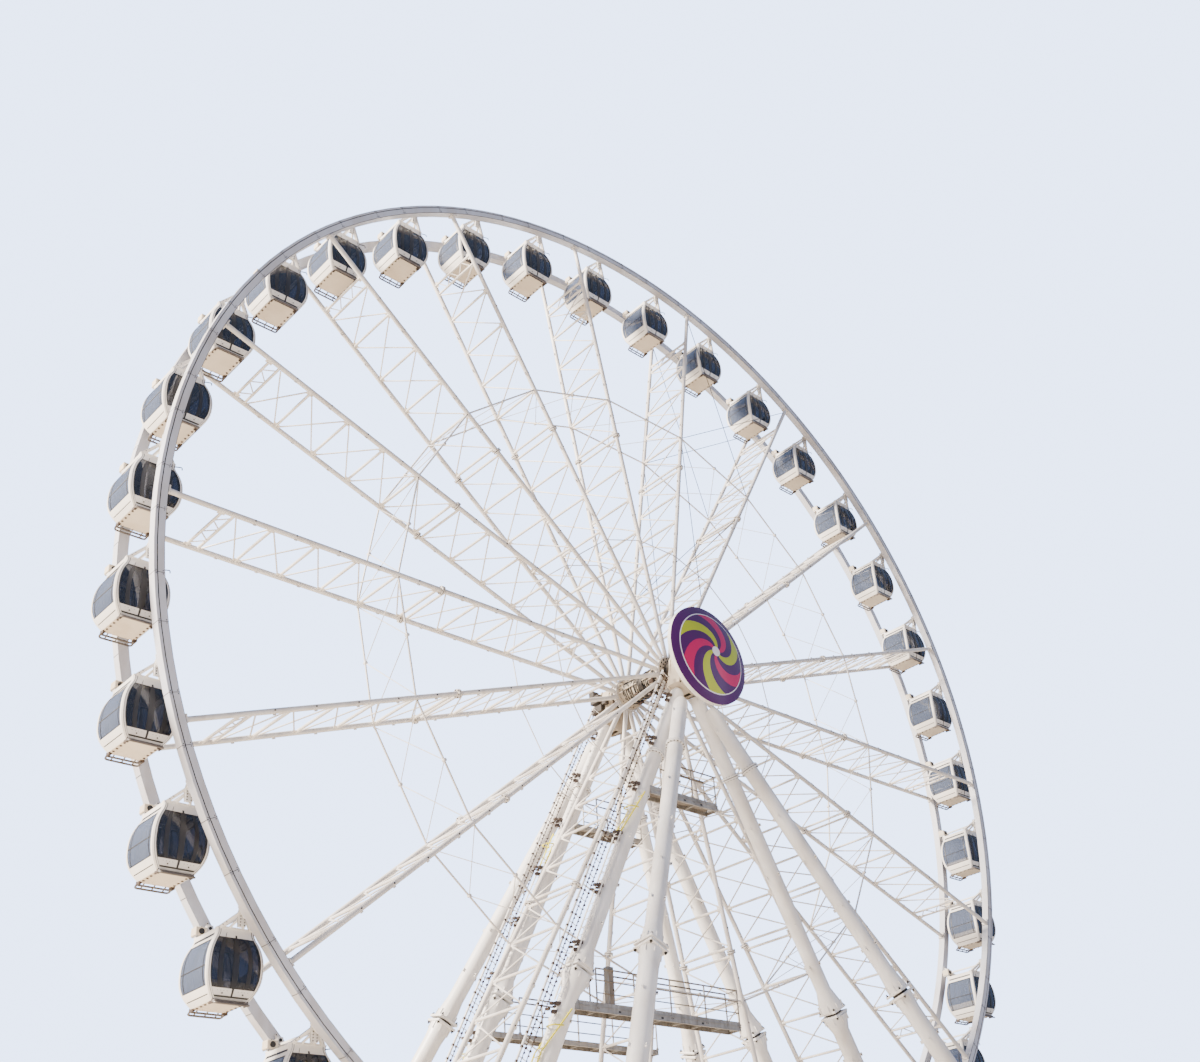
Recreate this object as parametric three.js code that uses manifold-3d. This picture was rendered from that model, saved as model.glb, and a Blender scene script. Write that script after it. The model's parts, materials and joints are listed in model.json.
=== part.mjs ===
// A giant wheel of the kind that is put up for a season: two rims joined by eighteen ladder spokes,
// thirty-six glazed cabins hung between the rims, and eight tube legs that hold the axle at both ends.
// The real one stands about 45.6 m tall, so this is a scale model at 1:10.
// Millimetres, +Z up. The origin lies on the ground below the middle of the axle.
// The axle runs along Y, and the side that carries the round sign faces -Y.
import * as THREE from 'three';
import { mergeVertices } from 'three/addons/utils/BufferGeometryUtils.js';
import Module from 'manifold-3d';

const wasm = await Module();
wasm.setup();

// The real sizes below are in metres, and m() turns them into the model's millimetres.
const MODEL_SCALE = 1 / 10;
const m = (metres) => metres * 1000 * MODEL_SCALE;
const GAP = 0.3; // between pieces that meet, in the model's own millimetres
const degrees = THREE.MathUtils.degToRad;

// Wheel
const HUB_HEIGHT = m(24.6);
const SPOKES = 18;
const SPOKE_STEP = 360 / SPOKES;
const SPOKES_PER_GROUP = 2;
const CABINS = 36;
const CABIN_STEP = 360 / CABINS;
const CABIN_START = CABIN_STEP / 2; // two cabins hang in each bay between spokes
const RIM_SIDES = 72;
const RIM_INNER = m(20.5); // from the axle to the rim's inner flat
const RIM_HEIGHT = m(0.33);
const RIM_DEPTH = m(0.31);
const RIM_OFFSET = m(1.2); // from the wheel's middle plane to a rim's middle
const CHORD_RADIUS = m(0.08);
const RUNG_WIDTH = m(0.06);
const RUNG_RADII = [18.6, 17.05, 15.5, 14.0, 12.48, 10.75, 9.2, 7.7, 6.2, 4.7, 3.2].map(m);
const TIE_RADIUS = m(12.48);
const TIE_WIDTH = m(0.07);

// Hub
const HUB_SIDES = SPOKES;
const FLANGE_INNER = m(0.62); // from the axle to a flat of the flange, where a chord lands
const FLANGE_THICKNESS = m(0.26);
const SPINDLE_RADIUS = m(0.5);
const JOURNAL_RADIUS = m(0.4);
const JOURNAL_END = m(2.3);

// Cabins, measured from the pivot
const PIVOT_RADIUS = m(20.7);
// Levels from the roof to the floor: height, half width across the wheel, half depth along the axle
const CABIN_LEVELS = [[-0.58, 0.55, 0.66], [-1.15, 0.81, 0.79], [-1.72, 0.81, 0.79], [-2.3, 0.5, 0.58]];
const CABIN_WALL = 0.065;
const CABIN_CEILING = -0.65;
const CABIN_FLOOR = -2.24;
const DOOR_WINDOW = [[0.44, -0.78], [0.68, -1.4], [0.52, -1.98]];
const HANGER = { half_foot: m(0.42), half_top: m(0.11), rise: m(0.11), thickness: m(0.08), offset: m(0.61) };
const TRUNNION_RADIUS = m(0.05);
const TRUNNION_BORE = m(0.062);
const TRUNNION_REACH = m(0.09); // into the rim
const BORE_DEPTH = m(0.1);

// Legs: a main leg and an outrigger on each side, at the front and at the rear
const HEAD_Y = m(2.0);
const APEX_DROP = m(0.3); // the leg centre lines meet this far below the axle
const MAIN_FOOT = { x: m(12.4), y: m(2.0) };
const OUTRIGGER_FOOT = { x: m(12.15), y: m(8.3) };
const LEG_SIDES = 8;
const LEG_RADIUS = m(0.29);
const LOWER_LEG_RADIUS = m(0.32);
const COLLAR_RADIUS = m(0.37);
const COLLAR_LENGTH = m(0.16);
const COLLAR_AT = 0.16; // as a share of the leg's length from the apex
const CLAMP_AT = 0.495;
const CLAMP_WIDTH = m(0.7);
const CLAMP_LENGTH = m(0.4);
const MAIN_START = m(1.0); // along the leg, from the apex to its top end
const OUTRIGGER_START = m(1.7);
const FOOT_WIDTH = m(1.3);
const FOOT_HEIGHT = m(0.4);

// Bearing heads, seen along the axle from its centre
const HEAD_DEPTH = m(0.76);
const HEAD_BORE_SIDES = 24;
const HEAD_BORE_INNER = JOURNAL_RADIUS + 0.5;
const HEAD_LEG_WIDTH = m(0.7);
const HEAD_SIDE = [[0.56, -0.15], [0.52, 0.18], [0.31, 0.54]];

// Round sign, with a face that swells forward
const SIGN_RADIUS = m(2);
const SIGN_DROP = m(0.11); // its middle is this far below the axle
const SIGN_BACK = m(3.15);
const SIGN_EDGE = m(0.17);
const SIGN_BULGE = m(0.4);
const SIGN_BULGE_STEPS = 5;
const SIGN_STEM_RADIUS = m(0.55);
const SIGN_SIDES = 48;

// Service platforms inside the two leg frames, part of the left main legs
const PLATFORM_WIDTH = m(0.58);
const PLATFORM_THICKNESS = m(0.18);
const PLATFORM_END = m(0.75); // just past the middle of the wheel
const LOWER_PLATFORM = m(11.1);
const UPPER_PLATFORM = m(18.9);
const RAIL_HEIGHT = m(1.2);
const POST_WIDTH = m(0.06);
const POST_SPACING = m(1.45);
const POST_ROOT = 1; // how far a post runs down into the floor

const paint = (hex, roughness = 0.5) =>
  new THREE.MeshStandardMaterial({ color: hex, roughness, metalness: 0.1 });
const STEEL_WHITE = paint('#e4e1dc');
const RIM_WHITE = paint('#d5d6da');
const SPOKE_WHITE = paint('#d6d2ce');
const HUB_BEIGE = paint('#cfc4b4');
const CABIN_WHITE = paint('#e2dfd8', 0.4);
const SIGN_PURPLE = paint('#6b2a8c', 0.35);

const root = new THREE.Group();
const wheel = new THREE.Group();
wheel.position.z = HUB_HEIGHT;
root.add(wheel);

// Solids

function solidOf(geometry) {
  const bare = new THREE.BufferGeometry();
  bare.setAttribute('position', geometry.getAttribute('position'));
  bare.setIndex(geometry.getIndex());
  const merged = mergeVertices(bare, 1e-3);
  return new wasm.Manifold(new wasm.Mesh({
    numProp: 3,
    vertProperties: new Float32Array(merged.getAttribute('position').array),
    triVerts: new Uint32Array(merged.getIndex().array),
  }));
}

function geometryOf(solid) {
  const { vertProperties, triVerts } = solid.getMesh();
  const geometry = new THREE.BufferGeometry();
  geometry.setAttribute('position', new THREE.Float32BufferAttribute(vertProperties, 3));
  geometry.setIndex(new THREE.Uint32BufferAttribute(triVerts, 1));
  return geometry;
}

const fuse = (solids) => solids.reduce((whole, solid) => whole.add(solid));

function addPiece(parent, name, solid, material) {
  const mesh = new THREE.Mesh(geometryOf(solid), material);
  mesh.name = name;
  parent.add(mesh);
  return mesh;
}

const box = (width, depth, height, x, y, z) =>
  solidOf(new THREE.BoxGeometry(width, depth, height).translate(x, y, z));

// A prism with its axis from one point to another. A corner points along Y, or is turned from it by twist.
function rod(from, to, radius, sides, twist = 0) {
  const axis = to.clone().sub(from);
  const geometry = new THREE.CylinderGeometry(radius, radius, axis.length(), sides, 1, false, twist);
  axis.normalize();
  const guide = Math.abs(axis.y) > 0.99 ? new THREE.Vector3(1, 0, 0) : new THREE.Vector3(0, 1, 0);
  const side = guide.addScaledVector(axis, -guide.dot(axis)).normalize();
  const turn = new THREE.Matrix4().makeBasis(axis.clone().cross(side), axis, side);
  const middle = from.clone().add(to).multiplyScalar(0.5);
  return solidOf(geometry.applyMatrix4(turn).translate(middle.x, middle.y, middle.z));
}

// A body of revolution about the axle, with a flat facing +X; profile holds [radius, y].
function turned(profile, sides) {
  const points = profile.map(([radius, y]) => new THREE.Vector2(radius, y));
  return solidOf(new THREE.LatheGeometry(points, sides, Math.PI / 2 + Math.PI / sides));
}

// A prism along the axle; outline holds Vector2 x and z, counter-clockwise seen from -Y.
function slab(outline, low, high, hole) {
  const shape = new THREE.Shape(outline);
  if (hole) shape.holes.push(new THREE.Path(hole));
  const geometry = new THREE.ExtrudeGeometry(shape, { depth: high - low, bevelEnabled: false });
  return solidOf(geometry.rotateX(Math.PI / 2).translate(0, high, 0));
}

function polygon(radius, sides, start = 0) {
  return Array.from({ length: sides }, (_, i) => {
    const angle = start + (i * 2 * Math.PI) / sides;
    return new THREE.Vector2(radius * Math.cos(angle), radius * Math.sin(angle));
  });
}

// A stack of rectangles, from the highest level to the lowest, skinned into one body.
function stack(levels) {
  const corners = [[-1, -1], [1, -1], [1, 1], [-1, 1]];
  const points = levels.flatMap(([z, width, depth]) =>
    corners.flatMap(([x, y]) => [m(x * width), m(y * depth), m(z)]));
  const last = 4 * (levels.length - 1);
  const faces = [0, 1, 2, 0, 2, 3, last, last + 2, last + 1, last, last + 3, last + 2];
  for (let row = 0; row < last; row += 4) {
    for (let i = 0; i < 4; i += 1) {
      const [a, b] = [row + i, row + ((i + 1) % 4)];
      faces.push(a, a + 4, b + 4, a, b + 4, b);
    }
  }
  const geometry = new THREE.BufferGeometry();
  geometry.setAttribute('position', new THREE.Float32BufferAttribute(points, 3));
  geometry.setIndex(faces);
  return solidOf(geometry);
}

const mirrored = (side) => [
  ...side.map(([x, z]) => new THREE.Vector2(m(-x), m(z))),
  ...[...side].reverse().map(([x, z]) => new THREE.Vector2(m(x), m(z))),
];

const polar = (radius, angle, y) =>
  new THREE.Vector3(radius * Math.cos(degrees(angle)), y, radius * Math.sin(degrees(angle)));

// Rims, each bored for the trunnions that the cabins hang on

function rim(sign) {
  const corner = Math.cos(Math.PI / RIM_SIDES);
  const inner = RIM_INNER / corner;
  const outer = (RIM_INNER + RIM_HEIGHT) / corner;
  const low = -RIM_DEPTH / 2;
  const high = RIM_DEPTH / 2;
  const profile = [[inner, low], [outer, low], [outer, high], [inner, high], [inner, low]];
  const ring = turned(profile, RIM_SIDES).translate(0, sign * RIM_OFFSET, 0);
  const face = RIM_OFFSET - RIM_DEPTH / 2;
  const bores = Array.from({ length: CABINS }, (_, i) => {
    const angle = CABIN_START + i * CABIN_STEP;
    const ends = [face - BORE_DEPTH, face + BORE_DEPTH].map((y) => polar(PIVOT_RADIUS, angle, sign * y));
    return rod(...ends, TRUNNION_BORE, 6);
  });
  return ring.subtract(fuse(bores));
}

addPiece(wheel, 'front_rim', rim(-1), RIM_WHITE);
addPiece(wheel, 'rear_rim', rim(1), RIM_WHITE);

// Hub spindle with the two flanges that the chords land on

function hubSpindle() {
  const flange = FLANGE_INNER / Math.cos(Math.PI / HUB_SIDES);
  const inside = RIM_OFFSET - FLANGE_THICKNESS / 2;
  const outside = RIM_OFFSET + FLANGE_THICKNESS / 2;
  const half = [[SPINDLE_RADIUS, inside], [flange, inside], [flange, outside], [JOURNAL_RADIUS, outside],
    [JOURNAL_RADIUS, JOURNAL_END], [0, JOURNAL_END]];
  const other = [...half].reverse().map(([radius, y]) => [radius, -y]);
  return turned([...other, ...half], HUB_SIDES);
}

addPiece(wheel, 'hub_spindle', hubSpindle(), HUB_BEIGE);

// Spokes: ladder trusses from the hub flanges to the rims, tied to each other in a ring

function spoke(angle) {
  const start = FLANGE_INNER + GAP;
  const end = RIM_INNER - GAP;
  const chords = [-1, 1].map((sign) => {
    const y = sign * RIM_OFFSET;
    return rod(new THREE.Vector3(start, y, 0), new THREE.Vector3(end, y, 0), CHORD_RADIUS, 6);
  });
  const rungs = RUNG_RADII.map((radius) => box(RUNG_WIDTH, 2 * RIM_OFFSET, RUNG_WIDTH, radius, 0, 0));
  return fuse([...chords, ...rungs]).rotate(0, -angle, 0);
}

function tie(angle, sign, shortened) {
  const from = polar(TIE_RADIUS, angle, sign * RIM_OFFSET);
  const to = polar(TIE_RADIUS, angle + SPOKE_STEP, sign * RIM_OFFSET);
  if (shortened) {
    const lean = degrees(SPOKE_STEP / 2);
    const cut = (CHORD_RADIUS + GAP + (TIE_WIDTH / 2) * Math.sin(lean)) / Math.cos(lean);
    to.sub(to.clone().sub(from).setLength(cut));
  }
  return rod(from, to, TIE_WIDTH / Math.SQRT2, 4, Math.PI / 4);
}

for (let first = 0; first < SPOKES; first += SPOKES_PER_GROUP) {
  const members = Array.from({ length: SPOKES_PER_GROUP }, (_, i) => first + i);
  const solids = members.flatMap((index) => {
    const angle = index * SPOKE_STEP;
    const last = index === first + SPOKES_PER_GROUP - 1;
    return [spoke(angle), tie(angle, -1, last), tie(angle, 1, last)];
  });
  const number = first / SPOKES_PER_GROUP + 1;
  addPiece(wheel, `spokes_${number}`, fuse(solids), SPOKE_WHITE);
}

// Cabins: hollow barrels, open where the doors at the front and rear have their glass

function insideLevels() {
  const between = (z) => {
    const i = CABIN_LEVELS.findIndex(([low]) => low < z);
    const [z0, w0, d0] = CABIN_LEVELS[i - 1];
    const [z1, w1, d1] = CABIN_LEVELS[i];
    const t = (z - z0) / (z1 - z0);
    return [z, w0 + t * (w1 - w0), d0 + t * (d1 - d0)];
  };
  return [between(CABIN_CEILING), ...CABIN_LEVELS.slice(1, -1), between(CABIN_FLOOR)]
    .map(([z, width, depth]) => [z, width - CABIN_WALL, depth - CABIN_WALL]);
}

function cabin() {
  const shell = stack(CABIN_LEVELS).subtract(stack(insideLevels()));
  const windows = slab(mirrored(DOOR_WINDOW), m(-1), m(1));
  const { half_foot, half_top, rise, thickness, offset } = HANGER;
  const foot = m(CABIN_LEVELS[0][0] - CABIN_WALL / 2);
  const outline = [[-half_foot, foot], [half_foot, foot], [half_top, rise], [-half_top, rise]]
    .map(([x, z]) => new THREE.Vector2(x, z));
  const tip = RIM_OFFSET - RIM_DEPTH / 2 + TRUNNION_REACH;
  const trunnion = (sign) => rod(new THREE.Vector3(0, sign * offset, 0), new THREE.Vector3(0, sign * tip, 0),
    TRUNNION_RADIUS, 6, Math.PI / 6);
  const hangers = [-1, 1].flatMap((sign) => [
    slab(outline, sign * offset - thickness / 2, sign * offset + thickness / 2), trunnion(sign)]);
  return fuse([shell.subtract(windows), ...hangers]);
}

const cabinSolid = cabin();
for (let i = 0; i < CABINS; i += 1) {
  const name = `cabin_${String(i + 1).padStart(2, '0')}`;
  const mesh = addPiece(wheel, name, cabinSolid, CABIN_WHITE);
  mesh.position.copy(polar(PIVOT_RADIUS, CABIN_START + i * CABIN_STEP, 0));
}

// Legs

function leg(foot, side, end, start, growth = 0) {
  const apex = new THREE.Vector3(0, end * HEAD_Y, HUB_HEIGHT - APEX_DROP);
  const base = new THREE.Vector3(side * foot.x, end * foot.y, 0);
  const along = base.clone().sub(apex);
  const length = along.length();
  const at = (distance) => apex.clone().add(along.clone().setLength(distance));
  const share = (part) => part * length;
  const landing = share(1 - (FOOT_HEIGHT / 2) / (HUB_HEIGHT - APEX_DROP));
  const upper = rod(at(start), at(share(CLAMP_AT)), LEG_RADIUS + growth, LEG_SIDES);
  const lower = rod(at(share(CLAMP_AT)), at(landing), LOWER_LEG_RADIUS + growth, LEG_SIDES);
  if (growth > 0) return upper.add(lower);
  const collar = rod(at(share(COLLAR_AT) - COLLAR_LENGTH / 2), at(share(COLLAR_AT) + COLLAR_LENGTH / 2),
    COLLAR_RADIUS, LEG_SIDES);
  const clamp = rod(at(share(CLAMP_AT) - CLAMP_LENGTH / 2), at(share(CLAMP_AT) + CLAMP_LENGTH / 2),
    CLAMP_WIDTH / Math.SQRT2, 4, Math.PI / 4);
  const plate = box(FOOT_WIDTH, FOOT_WIDTH, FOOT_HEIGHT, base.x, base.y, FOOT_HEIGHT / 2);
  return fuse([upper, lower, collar, clamp, plate]);
}

// A service platform, railed on its outer side; the left main legs carry two each.
function platform(end, height) {
  const drop = HUB_HEIGHT - APEX_DROP;
  const legAt = (level) => -MAIN_FOOT.x * ((drop - level) / drop);
  const start = legAt(height);
  const y = end * HEAD_Y;
  const outerY = y + end * (PLATFORM_WIDTH - POST_WIDTH) / 2;
  const railStart = legAt(height + RAIL_HEIGHT) + m(0.7);
  const floor = box(PLATFORM_END - start, PLATFORM_WIDTH, PLATFORM_THICKNESS, (PLATFORM_END + start) / 2, y,
    height - PLATFORM_THICKNESS / 2);
  const posts = [];
  const count = Math.round((PLATFORM_END - railStart) / POST_SPACING) + 1;
  for (let i = 0; i < count; i += 1) {
    const x = railStart + ((PLATFORM_END - POST_WIDTH / 2 - railStart) * i) / (count - 1);
    posts.push(box(POST_WIDTH, POST_WIDTH, RAIL_HEIGHT + POST_ROOT, x, outerY,
      height + (RAIL_HEIGHT - POST_ROOT) / 2));
  }
  const length = PLATFORM_END - railStart;
  const rails = [0.5, 1].map((share) => box(length, POST_WIDTH, POST_WIDTH, railStart + length / 2, outerY,
    height + share * RAIL_HEIGHT - POST_WIDTH / 2));
  return fuse([floor, ...posts, ...rails]);
}

for (const [endName, end] of [['front', -1], ['rear', 1]]) {
  for (const [sideName, side] of [['left', -1], ['right', 1]]) {
    const keepOut = leg(MAIN_FOOT, side, end, MAIN_START, GAP / Math.cos(Math.PI / LEG_SIDES));
    const carried = side < 0 ? [platform(end, UPPER_PLATFORM), platform(end, LOWER_PLATFORM)] : [];
    const mainLeg = fuse([leg(MAIN_FOOT, side, end, MAIN_START), ...carried]);
    const outrigger = leg(OUTRIGGER_FOOT, side, end, OUTRIGGER_START).subtract(keepOut);
    addPiece(root, `${endName}_${sideName}_leg`, mainLeg, STEEL_WHITE);
    addPiece(root, `${endName}_${sideName}_outrigger`, outrigger, STEEL_WHITE);
  }
}

// Bearing heads, where the legs meet below each end of the axle

function head(end) {
  const { x } = MAIN_FOOT;
  const drop = HUB_HEIGHT - APEX_DROP;
  const length = Math.hypot(x, drop);
  const down = new THREE.Vector2(x / length, -drop / length);
  const across = new THREE.Vector2(down.y, -down.x);
  const face = down.clone().multiplyScalar(MAIN_START - GAP).add(new THREE.Vector2(0, -APEX_DROP));
  const outer = face.clone().addScaledVector(across, -HEAD_LEG_WIDTH / 2);
  const inner = face.clone().addScaledVector(across, HEAD_LEG_WIDTH / 2);
  const right = [inner, outer, ...HEAD_SIDE.map(([px, pz]) => new THREE.Vector2(m(px), m(pz)))];
  const left = [...right].reverse().map((point) => new THREE.Vector2(-point.x, point.y));
  const bore = polygon(HEAD_BORE_INNER / Math.cos(Math.PI / HEAD_BORE_SIDES), HEAD_BORE_SIDES);
  return slab([...right, ...left], end * HEAD_Y - HEAD_DEPTH / 2, end * HEAD_Y + HEAD_DEPTH / 2, bore)
    .translate(0, 0, HUB_HEIGHT);
}

addPiece(root, 'front_bearing_head', head(-1), HUB_BEIGE);
addPiece(root, 'rear_bearing_head', head(1), HUB_BEIGE);

// Round sign on a stem in front of the front head

function roundSign() {
  const stemEnd = -HEAD_Y - HEAD_DEPTH / 2 - GAP;
  const face = Array.from({ length: SIGN_BULGE_STEPS + 1 }, (_, i) => {
    const share = i / SIGN_BULGE_STEPS;
    return [SIGN_RADIUS * share, -SIGN_BACK - SIGN_EDGE - SIGN_BULGE * (1 - share ** 2)];
  });
  const profile = [...face, [SIGN_RADIUS, -SIGN_BACK], [SIGN_STEM_RADIUS, -SIGN_BACK],
    [SIGN_STEM_RADIUS, stemEnd], [0, stemEnd]];
  return turned(profile, SIGN_SIDES).translate(0, 0, HUB_HEIGHT - SIGN_DROP);
}

addPiece(root, 'round_sign', roundSign(), SIGN_PURPLE);

export default root;
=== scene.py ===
# %% [markdown]
# # A giant observation wheel at 1:10
# A wheel of this kind is put up for a season and taken away again on lorries. Two rims stand 2.4 m apart,
# eighteen ladder spokes join them to an axle, and eight tube legs hold the axle. The cabins hang between
# the rims. The CAD solids already fix where everything is. This script dresses them: each piece is built
# in real metres, where the real one is, and is brought to the model's size in one place at the end.

# %% Load the frame
import json
import math

import bmesh
import bpy
from mathutils import Matrix, Vector

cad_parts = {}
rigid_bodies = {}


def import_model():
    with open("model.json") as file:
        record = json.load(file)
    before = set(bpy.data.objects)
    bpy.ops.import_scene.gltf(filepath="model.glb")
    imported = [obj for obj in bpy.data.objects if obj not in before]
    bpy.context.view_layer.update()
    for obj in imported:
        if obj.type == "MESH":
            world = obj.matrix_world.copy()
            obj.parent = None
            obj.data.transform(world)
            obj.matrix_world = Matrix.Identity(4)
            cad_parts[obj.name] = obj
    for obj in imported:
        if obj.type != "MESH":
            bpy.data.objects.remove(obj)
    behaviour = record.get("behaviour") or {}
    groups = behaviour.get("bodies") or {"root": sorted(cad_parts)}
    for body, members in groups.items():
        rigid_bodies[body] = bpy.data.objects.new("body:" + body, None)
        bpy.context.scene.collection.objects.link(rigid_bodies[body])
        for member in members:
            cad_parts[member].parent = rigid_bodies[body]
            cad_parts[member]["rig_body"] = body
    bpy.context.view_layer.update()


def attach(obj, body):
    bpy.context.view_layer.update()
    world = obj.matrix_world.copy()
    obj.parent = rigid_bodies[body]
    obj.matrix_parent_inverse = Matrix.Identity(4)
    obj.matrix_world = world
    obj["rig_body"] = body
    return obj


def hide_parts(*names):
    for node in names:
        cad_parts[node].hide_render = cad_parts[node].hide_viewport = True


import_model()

# %% [markdown]
# ## Sizes
# These are the real sizes in metres. The model is a tenth of them.
# Angles are degrees round the wheel, from the right-hand side up.

# %% The main sizes
SCALE = 0.1
HUB, AXLE = Vector((0, 0, 24.6)), Vector((0, 1, 0))
SPOKES, CABINS = 18, 36
SPOKE_STEP, CABIN_STEP = 360 // SPOKES, 360 // CABINS
RIM_Y, RIM_HALF = 1.2, 0.155
RIM_IN, RIM_OUT = 20.5, 20.83
PIVOT = 20.7
TIE_RING, INNER_RING = 12.48, 5.8
HEAD_Y = 2.0
APEX = HUB.z - 0.3
MAIN_FOOT, OUTRIGGER_FOOT = (12.4, HEAD_Y), (12.15, 8.3)
PLATFORMS = ((11.1, "lower"), (18.9, "upper"))
ENDS = ((-1, "front"), (1, "rear"))


def polar(radius, degrees, y=0.0):
    """A point on the wheel, measured from the axle."""
    angle = math.radians(degrees)
    return HUB + Vector((radius * math.cos(angle), y, radius * math.sin(angle)))


print("top of the rim", round(polar(RIM_OUT, 90).z, 2), "m")

# %% [markdown]
# ## Camera, floor and light
# The photograph was taken from the ground, near the wheel and well to its front left, with the camera
# tilted up and turned a little to one side. The lens and the shift come from solving that view, so the
# script sets the camera's matrix instead of aiming it by hand.

# %% Camera
EYE = HUB + Vector((-33.74, -32.91, -23.02))
YAW, PITCH, ROLL = (math.radians(v) for v in (46.338, 29.465, -5.116))
forward = Vector((math.sin(YAW) * math.cos(PITCH), math.cos(YAW) * math.cos(PITCH), math.sin(PITCH)))
level = Vector((math.cos(YAW), -math.sin(YAW), 0))
above = level.cross(forward)
right = math.cos(ROLL) * level + math.sin(ROLL) * above
up = math.cos(ROLL) * above - math.sin(ROLL) * level
lens = bpy.data.cameras.new("camera")
lens.sensor_width, lens.lens = 36.0, 40.0
lens.shift_x, lens.shift_y = -0.0448, 0.0609
lens.clip_start, lens.clip_end = 0.02, 60
camera = bpy.data.objects.new("camera", lens)
bpy.context.scene.collection.objects.link(camera)
camera.matrix_world = Matrix.Translation(EYE * SCALE) @ Matrix((right, up, -forward)).transposed().to_4x4()
bpy.context.scene.camera = camera
print("camera at", [round(v, 3) for v in camera.location])

# %% [markdown]
# ## Colours and nodes
# Paint charts give colours as sRGB hex values, and Blender's sockets want linear numbers, so one function
# turns one into the other. A few more small functions add a node, set it up and link it.

# %% Colour and node helpers
def linear(code):
    """An sRGB hex colour as linear RGBA."""
    parts = [int(code[i:i + 2], 16) / 255 for i in (1, 3, 5)]
    return tuple(c / 12.92 if c <= 0.04045 else ((c + 0.055) / 1.055) ** 2.4 for c in parts) + (1.0,)


def fill_sockets(material, node, sockets):
    """Gives a node a value or a link in each named socket."""
    for key, value in sockets.items():
        if isinstance(value, bpy.types.NodeSocket):
            material.node_tree.links.new(value, node.inputs[key])
        else:
            node.inputs[key].default_value = value


def add_node(material, kind, settings=None, sockets=None):
    """Adds a node with its settings and its sockets."""
    node = material.node_tree.nodes.new(kind)
    for key, value in (settings or {}).items():
        setattr(node, key, value)
    fill_sockets(material, node, sockets or {})
    return node


def new_material(name):
    """A material with its shader, and the position that its patterns follow."""
    material = bpy.data.materials.new(name)
    material.use_nodes = True
    place = add_node(material, "ShaderNodeTexCoord").outputs["Object"]
    return material, material.node_tree.nodes["Principled BSDF"], place


# %% [markdown]
# ## The paints and metals
# Nearly everything on the wheel is the same thing: welded steel with a sprayed two-pack polyurethane paint.
# Up close such paint has a faint orange peel, a chalky bloom where rain has stood, and streaks below each
# joint. One function makes them all from two colours, a gloss and the real width of a streak. The model is a
# tenth of the real size, so a pattern that is 400 mm wide on the real wheel is 40 mm wide here.

# %% The painted finishes
PEEL_MM = 60


def pattern_scale(real_mm):
    """The texture scale for features of this real size, at the model's scale."""
    return 1000 / (real_mm * SCALE)


def painted(name, clean, grimy, roughness, streak_mm=500, metallic=0.0, grime=0.5, coat=0.0):
    """A paint or metal with cloudy dirt that runs down in streaks, and a fine uneven surface."""
    material, shader, place = new_material(name)
    stretched = add_node(material, "ShaderNodeMapping", sockets={"Vector": place, "Scale": (1, 1, 0.22)})
    streaks = add_node(material, "ShaderNodeTexNoise", sockets={
        "Vector": stretched.outputs["Vector"], "Scale": pattern_scale(streak_mm),
        "Detail": 5.0, "Roughness": 0.6})
    clouds = add_node(material, "ShaderNodeTexNoise", sockets={
        "Vector": place, "Scale": pattern_scale(streak_mm * 4), "Detail": 3.0})
    both = add_node(material, "ShaderNodeMath", {"operation": "MULTIPLY"}, {
        0: streaks.outputs["Fac"], 1: clouds.outputs["Fac"]})
    dirt = add_node(material, "ShaderNodeMapRange", sockets={
        "Value": both.outputs[0], "From Min": 0.16, "From Max": 0.42, "To Min": 0.0, "To Max": grime})
    colour = add_node(material, "ShaderNodeMix", {"data_type": "RGBA"}, {
        "Factor": dirt.outputs["Result"], "A": linear(clean), "B": linear(grimy)})
    gloss = add_node(material, "ShaderNodeMapRange", sockets={
        "Value": streaks.outputs["Fac"], "From Min": 0.3, "From Max": 0.7,
        "To Min": roughness - 0.06, "To Max": roughness + 0.08})
    peel = add_node(material, "ShaderNodeTexNoise", sockets={
        "Vector": place, "Scale": pattern_scale(PEEL_MM), "Detail": 2.0})
    bump = add_node(material, "ShaderNodeBump", sockets={
        "Height": peel.outputs["Fac"], "Strength": 0.12, "Distance": 0.002 * SCALE})
    fill_sockets(material, shader, {
        "Base Color": colour.outputs["Result"], "Roughness": gloss.outputs["Result"],
        "Normal": bump.outputs["Normal"], "Metallic": metallic, "Coat Weight": coat})
    return material


WHITE_PAINT = painted("white_polyurethane_on_steel", "#F0EFEE", "#BDB1A0", 0.36)
# The blue cast of this pale grey paint is painted shade: the cool skylight on faces turned away from the key.
RIM_PAINT = painted("pale_grey_polyurethane_on_steel", "#CDD0DA", "#A0917E", 0.34)
SPOKE_PAINT = painted("satin_white_alkyd_on_steel", "#E0DCD8", "#A99E91", 0.42, streak_mm=300)
CREAM_PAINT = painted("cream_machine_enamel", "#C6B9A6", "#776750", 0.45, grime=0.85)
GELCOAT = painted("white_polyester_gelcoat", "#EEEBE6", "#C9BFB2", 0.22, grime=0.35, coat=0.4)
# Under the cabin floor this beige is partly painted bounce light, the warm light the floor sends up; on the
# air conditioner it is the coating's own colour.
BEIGE_COATING_AND_PAINTED_BOUNCE = painted("beige_chassis_coating", "#D3C6B2", "#AD9C82", 0.55, grime=0.45)
BLACK_FRAME = painted("black_anodised_aluminium", "#232325", "#3B3834", 0.35, grime=0.4)
RUBBER = painted("black_epdm_rubber", "#1D1C1C", "#3A3733", 0.7, grime=0.5)
BUMPER_PAINT = painted("dark_grey_powder_coat_on_tube", "#5E5650", "#3B342E", 0.35, grime=0.6, coat=0.3)
BRACKET = painted("dark_brown_primed_steel", "#4A3B31", "#2B211B", 0.5, grime=0.6)
GALVANISED = painted("hot_dip_galvanised_steel", "#A39E97", "#6F675C", 0.48, 120, metallic=0.5, grime=0.8)
GRATING = painted("walked_on_steel_grating", "#80766A", "#4A3E31", 0.6, streak_mm=200, grime=0.9)
YELLOW = painted("yellow_safety_powder_coat", "#E0D632", "#A89A2E", 0.4, grime=0.5)
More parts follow.
